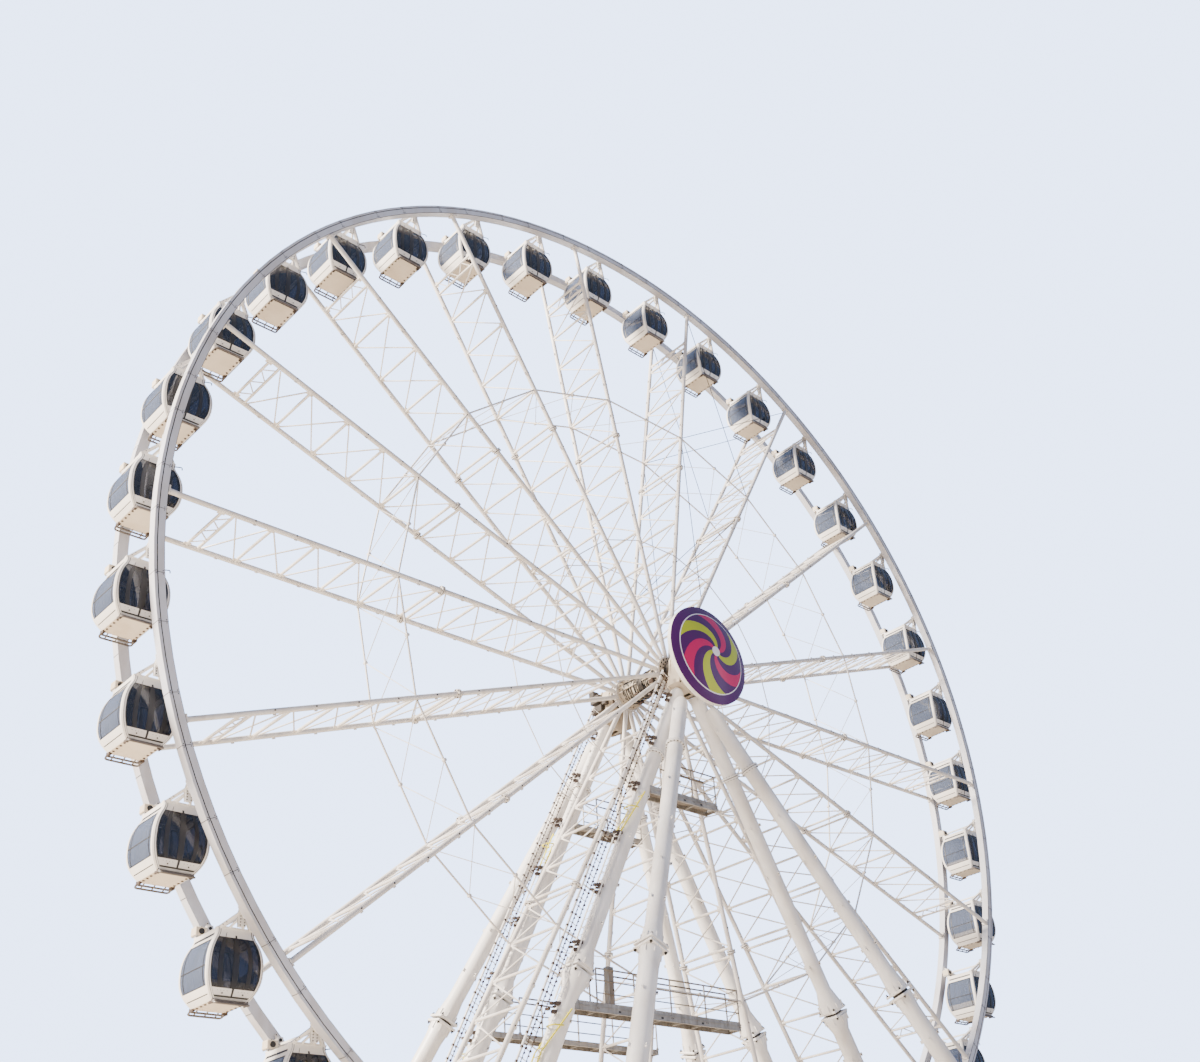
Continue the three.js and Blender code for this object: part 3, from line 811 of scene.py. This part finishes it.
# %% Hangers, bumpers and roof fittings
def cabin_fittings(bm):
    """Everything that is bolted to the shell, with the same paint numbers, and 5 for the bumpers."""
    for end in (-1, 1):
        for side in (-1, 1):
            foot = Vector((side * 0.48, end * 0.59, -0.42))
            tip = Vector((side * 0.07, end * 0.88, -0.05))
            beam(bm, foot, tip, 0.11, 0.09)
            beam(bm, (side * 0.2, end * 0.61, -0.40), (side * 0.07, end * 0.86, -0.2), 0.06, 0.06)
            block(bm, (side * 0.46, end * 0.58, -0.405), (0.17, 0.15, 0.035), edge=0.005)
            for dx in (-0.055, 0.055):
                bolt(bm, (side * 0.46 + dx, end * 0.54, -0.387), (0, 0, 1), 0.018, 4)
            for along in (0.16, 0.34):
                bolt(bm, foot.lerp(tip, along) + Vector((0, end * 0.055, 0.02)), (0, end, 0), 0.022, 4)
        block(bm, (0, end * 0.60, -0.39), (0.86, 0.09, 0.05), edge=0.005)
        outline = [(-0.1, -0.42), (0.1, -0.42), (0.13, -0.1), (0.09, 0.09), (-0.09, 0.09), (-0.13, -0.1)]
        for y in (0.85, 0.925):
            plate(bm, [Vector((x, end * y, z)) for x, z in outline], Vector((0, end * 0.02, 0)))
        block(bm, (0, end * 0.9, -0.4), (0.16, 0.06, 0.05))
        for z in (-0.38, -0.30, -0.22, -0.14):
            for x in (-0.06, 0.06):
                bolt(bm, (x, end * 0.945, z), (0, end, 0), 0.019, 4)
        ring(bm, [(0.0, end * 0.835), (0.085, end * 0.835), (0.095, end * 0.845), (0.095, end * 0.95),
                  (0.085, end * 0.955), (0.0, end * 0.955)], 16, (0, 0, 0), 0, whole=False)
        ring(bm, [(0.0, end * 0.82), (0.047, end * 0.82), (0.047, end * 1.09), (0.04, end * 1.1),
                  (0.0, end * 1.1)], 16, (0, 0, 0), 4, whole=False)
        for out, z in ((0.755, -2.385), (0.68, -2.32)):
            path = rounded([(-0.475, end * 0.5, -2.29), (-0.475, end * out, z),
                            (0.475, end * out, z), (0.475, end * 0.5, -2.29)], 0.08, 3)
            bent_tube(bm, path, 0.03, 8, 5)
        for x in (-0.3, 0.0, 0.3):
            beam(bm, (x, end * 0.54, -2.28), (x, end * 0.74, -2.37), 0.035, 0.02, (1, 0, 0), 5)
    beam(bm, (0, -0.86, -0.12), (0, 0.86, -0.12), 0.06, 0.06, (1, 0, 0))
    block(bm, (-0.38, 0.70, -0.2), (0.33, 0.3, 0.24), paint=3, edge=0.015)
    for k in range(5):
        block(bm, (-0.21, 0.70, -0.275 + 0.037 * k), (0.016, 0.26, 0.024), paint=2)
    fan = [(0.0, 0.54), (0.085, 0.54), (0.085, 0.552), (0.0, 0.552)]
    ring(bm, fan, 12, (-0.38, 0, -0.2), 2, whole=False)
    for x in (-0.5, -0.26):
        beam(bm, (x, 0.62, -0.31), (x, 0.62, -0.45), 0.03, 0.03, paint=6)
        beam(bm, (x, 0.56, -0.33), (x, 0.84, -0.33), 0.03, 0.03, (1, 0, 0), 6)
    antenna = [(0.45, -0.62, -0.56), (0.52, -0.66, -0.50), (0.72, -0.7, -0.47), (0.73, -0.7, -0.56)]
    bent_tube(bm, rounded(antenna, 0.03, 2), 0.016, 6, 1)


# %% [markdown]
# Inside, two moulded benches face each other along the side walls and a grab pole stands between them. They
# show as dark shapes through the tinted glass, with the brown ceiling above them.

# %% Seats and glass
def cabin_inside(bm):
    """Benches and pole, in the seat's paint, 7, and the aluminium, 6."""
    block(bm, (0, 0, -2.21), (0.9, 1.0, 0.03), paint=7)
    for side in (-1, 1):
        block(bm, (side * 0.5, 0, -1.86), (0.36, 1.12, 0.07), paint=7, edge=0.02)
        block(bm, (side * 0.5, 0, -2.05), (0.08, 1.0, 0.3), paint=7)
        for y in (-0.36, 0.0, 0.36):
            lean = Matrix.Rotation(side * math.radians(10), 4, "Y")
            block(bm, (side * 0.66, y, -1.6), (0.05, 0.32, 0.46), lean, paint=7, edge=0.015)
    bar(bm, (0, 0, -2.2), (0, 0, -0.53), 0.02, 8, 6)


def cabin_glass(bm):
    """The panes: 0 for the pale side panes, 1 for the dark door panes."""
    for side in (-1, 1):
        for low, high in ((-1.427, -0.738), (-1.928, -1.448)):
            side_band(bm, side, low, high, 0, back=0.012, thickness=0.01)
    for end in (-1, 1):
        for left, right in ((-0.97, -0.02), (0.02, 0.97)):
            end_band(bm, end, DOOR_FOOT, DOOR_TOP, 1, left, right, back=0.014, thickness=0.01)


# %% [markdown]
# One cabin is modelled, and each of the others is a copy of its mesh moved to its own pivot. All of them hang
# upright, so none is turned.

# %% Thirty-six cabins
bm = bmesh.new()
cabin_walls(bm)
cabin_fittings(bm)
cabin_inside(bm)
shell = finish_mesh(bm, "cabin_shell", [GELCOAT, BLACK_FRAME, RUBBER, BEIGE_COATING_AND_PAINTED_BOUNCE, BOLT_STEEL, BUMPER_PAINT,
                                        ALUMINIUM, SEAT, BRACKET, CEILING])
bm = bmesh.new()
cabin_glass(bm)
panes = finish_mesh(bm, "cabin_panes", [GLASS, DOOR_GLASS])
for i, angle in enumerate(PIVOT_ANGLES):
    name = f"cabin_{i + 1:02d}"
    body, glass = shell.copy(), panes.copy()
    for mesh in (body, glass):
        mesh.transform(Matrix.Translation(polar(PIVOT, angle) * SCALE))
    place_piece(f"{name}_body", body, name, [name])
    place_piece(f"{name}_glass", glass, name)
bpy.data.meshes.remove(shell)
bpy.data.meshes.remove(panes)
tally("cabin_01", "cabin_")

# %% [markdown]
# ## The legs
# Each of the eight legs is a tube in two lengths. Near the top a bolted flange pair shows as a dotted ring,
# and halfway down the tube widens into a square clamp. Small lugs with dark bolts stand along it, and weld
# seams run round it every few metres.

# %% A leg
UPPER_RADIUS, LOWER_RADIUS = 0.28, 0.31
SLEEVE_RADIUS, SLEEVE_FOOT = 0.317, 0.08
COLLAR, CLAMP = 0.16, 0.501  # shares of a leg's length, from its top
SEAMS = (0.09, 0.23, 0.3, 0.37, 0.43, 0.56, 0.63, 0.7, 0.78, 0.86, 0.93)


def leg_frame(foot_x, foot_y):
    """Where a leg starts, its direction and its length."""
    top = Vector((0, math.copysign(HEAD_Y, foot_y), APEX))
    foot = Vector((foot_x, foot_y, 0))
    return top, (foot - top).normalized(), (foot - top).length


def leg(bm, foot_x, foot_y, start, flare):
    """A leg that swells to the flare at its clamp. Paint 0 is white, 1 dark bolts, 2 the foot's grey."""
    top, down, length = leg_frame(foot_x, foot_y)
    across = Vector((0, 1, 0)) - down * down.y
    across.normalize()
    turn = Matrix((across, down.cross(across), down)).transposed().to_4x4()

    def at(share):
        return top + down * (share * length)

    def tube(stations):
        loft(bm, [circle(at(share), down, radius, 24) for share, radius in stations])

    first = start / length
    tube([(first, 0.18), (first + 0.006, 0.26), (first + 0.012, UPPER_RADIUS), (0.155, UPPER_RADIUS),
          (0.469, UPPER_RADIUS), (0.492, flare), (0.4965, flare)])
    tube([(0.5055, flare), (0.510, flare), (0.526, LOWER_RADIUS), (0.985, LOWER_RADIUS)])
    for way in (-1, 1):
        centre = at(COLLAR) + down * way * 0.045
        disc(bm, centre, down, 0.03, 0.355)
        bolt_ring(bm, centre + down * way * 0.03, down * way, 0.32, 16, 0.024, 1)
        centre = at(CLAMP) + down * way * 0.085
        block(bm, centre, (0.76, 0.76, 0.085), turn, edge=0.012)
        for x in (-0.32, 0.32):
            for y in (-0.32, 0.32):
                place = centre + turn @ Vector((x, y, way * 0.042))
                bar(bm, place, place + down * way * 0.08, 0.026, 8, 1)
                bolt(bm, place, down * way, 0.05, 1)
    disc(bm, at(COLLAR), down, 0.012, 0.30, paint=1)
    disc(bm, at(CLAMP), down, 0.05, 0.3, paint=1)
    for k in range(8):
        fin = turn @ Matrix.Rotation(math.pi * k / 4 + math.pi / 8, 4, "Z")
        for share in (CLAMP - 0.009, CLAMP + 0.009):
            block(bm, at(share) + fin @ Vector((flare, 0, 0)), (0.05, 0.02, 0.24), fin)
    for share in SEAMS:
        radius = UPPER_RADIUS if share < CLAMP else LOWER_RADIUS
        if share > first + 0.02:
            disc(bm, at(share), down, 0.008, radius + 0.004)
            for angle in (0.6, 2.2, 3.9, 5.4):
                lug = turn @ Matrix.Rotation(angle + share * 9, 4, "Z")
                place = at(share) + lug @ Vector((radius + 0.025, 0, 0.1))
                block(bm, place, (0.09, 0.025, 0.12), lug)
                bolt(bm, place + lug @ Vector((0.015, 0.0125, 0)), lug @ Vector((0, 1, 0)), 0.022, 1)
    sleeve = [circle(at(share), down, SLEEVE_RADIUS, 24) for share in (0.93, 0.985)]
    # The sleeve's lower end is cut level, just above the plate on the ground.
    sleeve[1] = [point + down * ((SLEEVE_FOOT - point.z) / down.z) for point in sleeve[1]]
    loft(bm, sleeve)
    foot_plate(bm, Vector((foot_x, foot_y, 0)))


def foot_plate(bm, foot):
    """The plate on the ground, with gussets up the leg and anchor studs."""
    block(bm, foot + Vector((0, 0, 0.035)), (1.28, 1.28, 0.07), paint=2, edge=0.01)
    bar(bm, foot + Vector((0, 0, 0.07)), foot + Vector((0, 0, 0.13)), 0.5, 24, 2)
    outline = [(0.3, 0.07), (0.72, 0.07), (0.72, 0.12), (0.36, 0.38), (0.3, 0.38)]
    for k in range(4):
        straight = Matrix.Rotation(math.pi / 2 * k, 4, "Z")
        turn = straight @ Matrix.Rotation(math.pi / 4, 4, "Z")
        plate(bm, [foot + turn @ Vector((x, -0.02, z)) for x, z in outline], turn @ Vector((0, 0.04, 0)), 2)
        for spread in (-0.28, 0.28):
            place = foot + straight @ Vector((0.55, spread, 0.07))
            bar(bm, place, place + Vector((0, 0, 0.13)), 0.02, 8, 1)
            bolt(bm, place, (0, 0, 1), 0.045, 1)


# %% [markdown]
# The left legs also carry the way up. A ladder lies on the leg's upper side, and below each platform a yellow
# one leads across to it. Beside it a light lattice with strings of lamps runs on to the hub.

# %% Ladders
WHITE_RUN, YELLOW_RUN = (16.9, 11.1), (9.45, 0.6)  # heights of the ends of the ladders on the leg
LANDINGS = ((-3.1, 18.62, 16.95), (-6.9, 10.87, 9.47))  # x and height at the platform, height on the leg
BRACKET_HEIGHTS = (15.5, 13.5, 11.6, 8.2, 6.2, 4.2, 2.2)


def left_leg(end):
    """Where a left main leg starts, its direction, its length and the way out from its upper side."""
    top, down, length = leg_frame(-MAIN_FOOT[0], end * MAIN_FOOT[1])
    return top, down, length, Vector((down.z, 0, -down.x)).normalized()


def rungs_between(bm, high, low, paint, spacing=0.3):
    """Two stringers between two points, 0.3 m apart along the axle, with rungs."""
    high, low, half = Vector(high), Vector(low), Vector((0, 0.15, 0))
    for offset in (-half, half):
        beam(bm, high + offset, low + offset, 0.05, 0.035, (0, 1, 0), paint)
    count = int((low - high).length / spacing)
    for k in range(count):
        place = high.lerp(low, (k + 0.5) / count)
        bar(bm, place - half, place + half, 0.014, 6, paint)


def ladders(bm, end, white, yellow):
    """The white run between the platforms and the yellow runs below each of them."""
    top, down, length, out = left_leg(end)

    def on_leg(height):
        return top + down * ((APEX - height) * length / APEX) + out * 0.36

    for (high, low), paint in ((WHITE_RUN, white), (YELLOW_RUN, yellow)):
        rungs_between(bm, on_leg(high), on_leg(low), paint)
    for x, level, height in LANDINGS:
        high, low = Vector((x, end * 2.3, level)), on_leg(height)
        rungs_between(bm, high, low, yellow, 0.26)
        hoop = high.lerp(low, 0.4)
        path = [hoop + Vector((x, y, 0)) for x, y in ((0.1, -0.2), (-0.28, -0.2), (-0.28, 0.2), (0.1, 0.2))]
        bent_tube(bm, rounded(path, 0.12, 3), 0.024, 6, yellow)
    for height in BRACKET_HEIGHTS:
        for offset in (-0.14, 0.14):
            place = on_leg(height) + AXLE * offset
            bar(bm, place, place - out * 0.1, 0.02, 6, white)


# %% Lamp strings
LAMP_PITCH = 0.16
# Boxes of a cluster: how far out from the leg, how far along it, and how wide.
BOXES = ((0.35, 0.0, 0.2), (0.54, 0.12, 0.14), (0.37, 0.3, 0.18), (0.6, 0.36, 0.12), (0.42, 0.16, 0.1))


def lamp_strings(bm, end, white, dark):
    """A lattice beside a left leg: a white tube, rungs, and two dark cables that carry the lamp sockets."""
    top, down, length, out = left_leg(end)
    side, start, stop = AXLE * end, 0.7, length - 0.5
    tube, *cables = [out * far - side * 0.05 for far in (0.92, 0.78, 0.60)]
    for line, radius, sides, paint in ((tube, 0.04, 8, white), *((line, 0.014, 5, dark) for line in cables)):
        bar(bm, top + down * start + line, top + down * stop + line, radius, sides, paint)
    for k in range(int((stop - start) / LAMP_PITCH)):
        place = top + down * (start + LAMP_PITCH * (k + 0.5))
        for line in cables:
            bar(bm, place + line, place + line + side * 0.05, 0.018 + 0.011 * (k * 5 % 3), 6, dark)
        if k % 3 == 1:
            bar(bm, place + tube, place + tube + down * 0.07, 0.05, 8, dark)
        if k % 2 == 0:
            bar(bm, place + cables[-1], place + tube, 0.014, 5, white)
        if k % 18 == 9:
            beam(bm, place + out * 0.27, place + tube, 0.04, 0.03, side, white)
        if k % 14 == 5:
            for far, along, size in BOXES:
                seat = place + out * far + down * along + side * 0.08
                block(bm, seat, (size, 0.12, size * 0.6), paint=dark, edge=0.012)


# %% [markdown]
# ## The service platforms
# Each frame of legs has two walkways that reach from the left leg to just past the middle. They are channels
# with a grating between, and a three-rail guard on the outer side and at the end.

# %% Platforms
INNER_Y, OUTER_Y, PLATFORM_END = 1.73, 2.27, 0.74
CROSS_PITCH, GRATING_PITCH, POST_PITCH = 0.9, 0.09, 1.45
RAILS = ((1.17, 0.028), (0.80, 0.02), (0.42, 0.02))  # height above the deck and radius


def platform(bm, end, height):
    """Paint 0 is the weathered frame, 1 the grating, 2 dark bolts and fittings, 3 the cabinet's door."""
    def leg_x(level):
        return -MAIN_FOOT[0] * (APEX - level) / APEX

    start, rail_from = leg_x(height) + 0.1, leg_x(height + 1.2) + 0.42
    inner, outer, last = end * INNER_Y, end * OUTER_Y, PLATFORM_END
    length, middle = last - start, end * (INNER_Y + OUTER_Y) / 2
    for y in (inner, outer):
        for drop, width, depth in ((0.09, 0.03, 0.17), (0.01, 0.06, 0.015), (0.17, 0.06, 0.015)):
            beam(bm, (start, y, height - drop), (last, y, height - drop), width, depth)
    for x in (start + 0.02, last - 0.02):
        block(bm, (x, middle, height - 0.09), (0.03, 0.54, 0.17))
    count = int(length / CROSS_PITCH)
    for k in range(1, count):
        block(bm, (start + length * k / count, middle, height - 0.12), (0.05, 0.5, 0.08))
    for k in range(int((length - 0.1) / GRATING_PITCH)):
        block(bm, (start + 0.08 + GRATING_PITCH * k, middle, height - 0.02), (0.055, 0.5, 0.03), paint=1)
    block(bm, ((start + last) / 2, outer + end * 0.005, height + 0.06), (length, 0.008, 0.12))
    posts = max(2, round((last - rail_from) / POST_PITCH))
    for y, low in ((outer, rail_from), (inner, rail_from + 0.2)):
        for level, radius in RAILS:
            if y == outer or level > 1:
                bar(bm, (low, y, height + level), (last - 0.02, y, height + level), radius, 8, 1)
        for k in range(posts + 1):
            x = low + (last - 0.03 - low) * k / posts
            if y == outer or k in (0, posts):
                bar(bm, (x, y, height - 0.1), (x, y, height + RAILS[0][0]), 0.027, 8)
                block(bm, (x, y, height + 0.02), (0.1, 0.05, 0.06))
                for dx in (-0.035, 0.035):
                    bolt(bm, (x + dx, y + end * 0.02, height - 0.06), (0, end, 0), 0.014, 2)
    for level, _ in RAILS:
        bar(bm, (last - 0.03, inner, height + level), (last - 0.03, outer, height + level), 0.016, 8)
    for k in range(1, 4):
        block(bm, (start + length * k / 4, outer + end * 0.01, height - 0.09), (0.1, 0.02, 0.06), paint=2)


def cabinet(bm):
    """The control cabinet on the front lower platform, with the same paints."""
    block(bm, (-5.05, -2.15, 11.7), (0.26, 0.2, 1.4), edge=0.012)
    block(bm, (-5.05, -2.255, 11.7), (0.17, 0.012, 1.28), paint=3, edge=0.004)
    bar(bm, (-4.98, -2.26, 11.67), (-4.98, -2.28, 11.67), 0.025, 10, 2)


# %% All the legs
LEG_KINDS = (("leg", MAIN_FOOT, 1.02, 0.45), ("outrigger", OUTRIGGER_FOOT, 1.75, 0.35))

for end, end_name in ENDS:
    for side, side_name in ((-1, "left"), (1, "right")):
        for kind, foot, start, flare in LEG_KINDS:
            node = f"{end_name}_{side_name}_{kind}"
            bm = bmesh.new()
            leg(bm, side * foot[0], end * foot[1], start, flare)
            new_piece(bm, f"{node}_tube", [WHITE_PAINT, BOLT_STEEL, GALVANISED], "base", [node])
    bm = bmesh.new()
    ladders(bm, end, 1, 0)
    lamp_strings(bm, end, 1, 2)
    new_piece(bm, f"{end_name}_ladder", [YELLOW, WHITE_PAINT, BRACKET], "base")
    for height, level in PLATFORMS:
        bm = bmesh.new()
        platform(bm, end, height)
        if (end_name, level) == ("front", "lower"):
            cabinet(bm)
        new_piece(bm, f"{end_name}_{level}_platform", [GALVANISED, GRATING, BOLT_STEEL, GRATING], "base")
tally("front_left", "front_ladder", "front_lower", "rear_right")

# %% [markdown]
# ## The bearing heads
# The legs of a frame meet in a fabricated head: two cut plates with webs between, round a bearing housing.
# The slip rings and feed boxes sit behind the rear head as a cluster of dark boxes.

# %% Heads
INNER_PLATE, WEB_FROM, OUTER_PLATE = 1.72, 1.8, 2.29
HOUSING = [(0.41, 1.65), (0.46, 1.65), (0.48, 1.67), (0.50, 1.80), (0.50, 2.36), (0.47, 2.395), (0.41, 2.395)]
REAR_BOXES = (((-0.62, 2.2, -0.42), (0.34, 0.6, 0.3)), ((-0.1, 2.6, -0.55), (0.3, 0.42, 0.24)),
              ((0.3, 2.55, -0.2), (0.26, 0.32, 0.4)), ((-0.66, 2.3, 0.05), (0.24, 0.5, 0.34)),
              ((-0.7, 1.75, -0.2), (0.2, 0.24, 0.3)), ((-0.5, 2.6, 0.42), (0.3, 0.3, 0.24)))


def head_outline(y):
    """The head seen along the axle: squared off across each leg, and narrower at the top."""
    down = Vector((MAIN_FOOT[0], 0, -APEX)).normalized()
    across = Vector((down.z, 0, -down.x))
    tip = Vector((0, 0, APEX)) + down * 0.985
    right = [tip + across * 0.34, tip - across * 0.34]
    right += [HUB + Vector((x, 0, z)) for x, z in ((0.55, -0.15), (0.51, 0.18), (0.30, 0.53))]
    left = [Vector((-p.x, 0, p.z)) for p in reversed(right)]
    return [p + AXLE * y for p in right + left]


for end, end_name in ENDS:
    bm = bmesh.new()
    for y in (INNER_PLATE, OUTER_PLATE):
        hole = circle(HUB + AXLE * end * y, AXLE, 0.46, 32)
        holed_plate(bm, head_outline(end * y), hole, AXLE * end * 0.08)
    ring(bm, [(radius, end * y) for radius, y in HOUSING], 40)
    outline = head_outline(end * (WEB_FROM + OUTER_PLATE) / 2)
    for one, two in zip(outline, outline[1:] + outline[:1]):
        if (one - two).length > 0.3:
            inward = HUB - (one + two) / 2
            inward.y = 0
            shift = inward.normalized() * 0.07
            beam(bm, one + shift, two + shift, OUTER_PLATE - WEB_FROM, 0.05)
    for y, axis in ((1.65, -end), (2.395, end)):
        bolt_ring(bm, HUB + AXLE * end * y, AXLE * axis, 0.437, 16, 0.02, 1)
    for side in (-1, 1):
        down = Vector((side * MAIN_FOOT[0], 0, -APEX)).normalized()
        for along in (0.6, 0.78, 0.94):
            for spread in (-0.28, 0.28):
                place = Vector((0, end * 2.37, APEX)) + down * along + Vector((-down.z, 0, down.x)) * spread
                bolt(bm, place, (0, end, 0), 0.035, 1)
    if end_name == "rear":
        for place, size in REAR_BOXES:
            block(bm, HUB + Vector(place), size, paint=2, edge=0.02)
        bar(bm, HUB + AXLE * 2.39, HUB + AXLE * 2.75, 0.36, 24, 2)
        bar(bm, HUB + AXLE * 2.75, HUB + AXLE * 2.95, 0.22, 24, 2)
        for k in range(6):
            low, high = Vector((0.1 * k - 0.4, 2.5, -0.75)), Vector((0.05 * k - 0.2, 2.5, -0.4))
            bar(bm, HUB + low, HUB + high, 0.025, 6, 1)
    new_piece(bm, f"{end_name}_head", [CREAM_PAINT, BOLT_STEEL, GREASED], "base",
              [f"{end_name}_bearing_head"])
tally("front_head", "rear_head")

# %% [markdown]
# ## The round sign
# The sign is a shallow dome of coloured plastic in a white tray, with a plain pinwheel on it. Rings of faces
# get their colours first, and then each ring is turned a little further than the one inside it, which sweeps
# the blades into a spiral.

# %% Sign
LENS_PURPLE = painted("violet_backlit_acrylic", "#4C0058", "#360040", 0.33, grime=0.35, coat=0.1)
LENS_MAGENTA = painted("magenta_backlit_acrylic", "#C4005A", "#A0004A", 0.33, grime=0.35, coat=0.1)
LENS_LIME = painted("lime_backlit_acrylic", "#B4C000", "#949E00", 0.33, grime=0.35, coat=0.1)
LENS_WHITE = painted("white_backlit_acrylic", "#EEEAF2", "#DDD8E2", 0.33, grime=0.3, coat=0.1)
SIGN = HUB - Vector((0, 0, 0.11))
SIGN_RADIUS, SIGN_EDGE, SIGN_BULGE, SIGN_BACK = 2.0, 3.32, 0.4, 3.15
BOSS, BLADE_TIP, LINE = 0.2, 1.62, 1.66
BLADES = (1, 0, 2, 0)
SECTOR, SWEEP = 30, math.radians(80)
SKIN = 0.005
RADII = [0.0, 0.1, BOSS, 0.3, 0.42, 0.56, 0.7, 0.84, 0.98, 1.12, 1.26, 1.4, 1.52, BLADE_TIP, LINE, 1.8, 1.9,
         SIGN_RADIUS]

bm = bmesh.new()
profile = [(radius, -SIGN_EDGE - SIGN_BULGE * (1 - (radius / SIGN_RADIUS) ** 2)) for radius in RADII]
profile += [(SIGN_RADIUS, -SIGN_BACK), (1.8, -SIGN_BACK), (0.58, -SIGN_BACK), (0.0, -SIGN_BACK)]
for face in ring(bm, profile, 96, SIGN, 4, whole=False):
    middle = face.calc_center_median() - SIGN
    if middle.y > -SIGN_EDGE - SKIN:
        continue
    radius = math.hypot(middle.x, middle.z)
    sector = int((math.degrees(math.atan2(middle.z, middle.x)) % 360) // SECTOR)
    if radius < BOSS or BLADE_TIP < radius < LINE:
        face.material_index = 3
    else:
        face.material_index = BLADES[sector % 4] if radius < BLADE_TIP else 0
for vert in bm.verts:
    offset = vert.co - SIGN
    share = (math.hypot(offset.x, offset.z) - BOSS) / (BLADE_TIP - BOSS)
    if offset.y > -SIGN_EDGE + SKIN:
        share = 1
    vert.co = SIGN + Matrix.Rotation(-SWEEP * min(max(share, 0), 1), 4, "Y") @ offset
bar(bm, SIGN - AXLE * 2.40, SIGN - AXLE * (SIGN_BACK + 0.01), 0.42, 32, 5)
for k in range(8):
    angle = math.pi * k / 4 + 0.2
    spread = Vector((math.cos(angle), 0, math.sin(angle)))
    bar(bm, SIGN + spread * 0.4 - AXLE * 2.62, SIGN + spread * 1.6 - AXLE * (SIGN_BACK - 0.03), 0.035, 8, 5)
ring(bm, [(1.56, -3.16), (1.64, -3.16), (1.64, -3.09), (1.56, -3.09)], 48, SIGN, 5)
new_piece(bm, "sign_lens", [LENS_PURPLE, LENS_MAGENTA, LENS_LIME, LENS_WHITE, GELCOAT, WHITE_PAINT], "base",
          ["round_sign"])
tally("sign_lens")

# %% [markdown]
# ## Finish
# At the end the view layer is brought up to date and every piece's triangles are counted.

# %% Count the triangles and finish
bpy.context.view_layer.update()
tally("")  # every piece
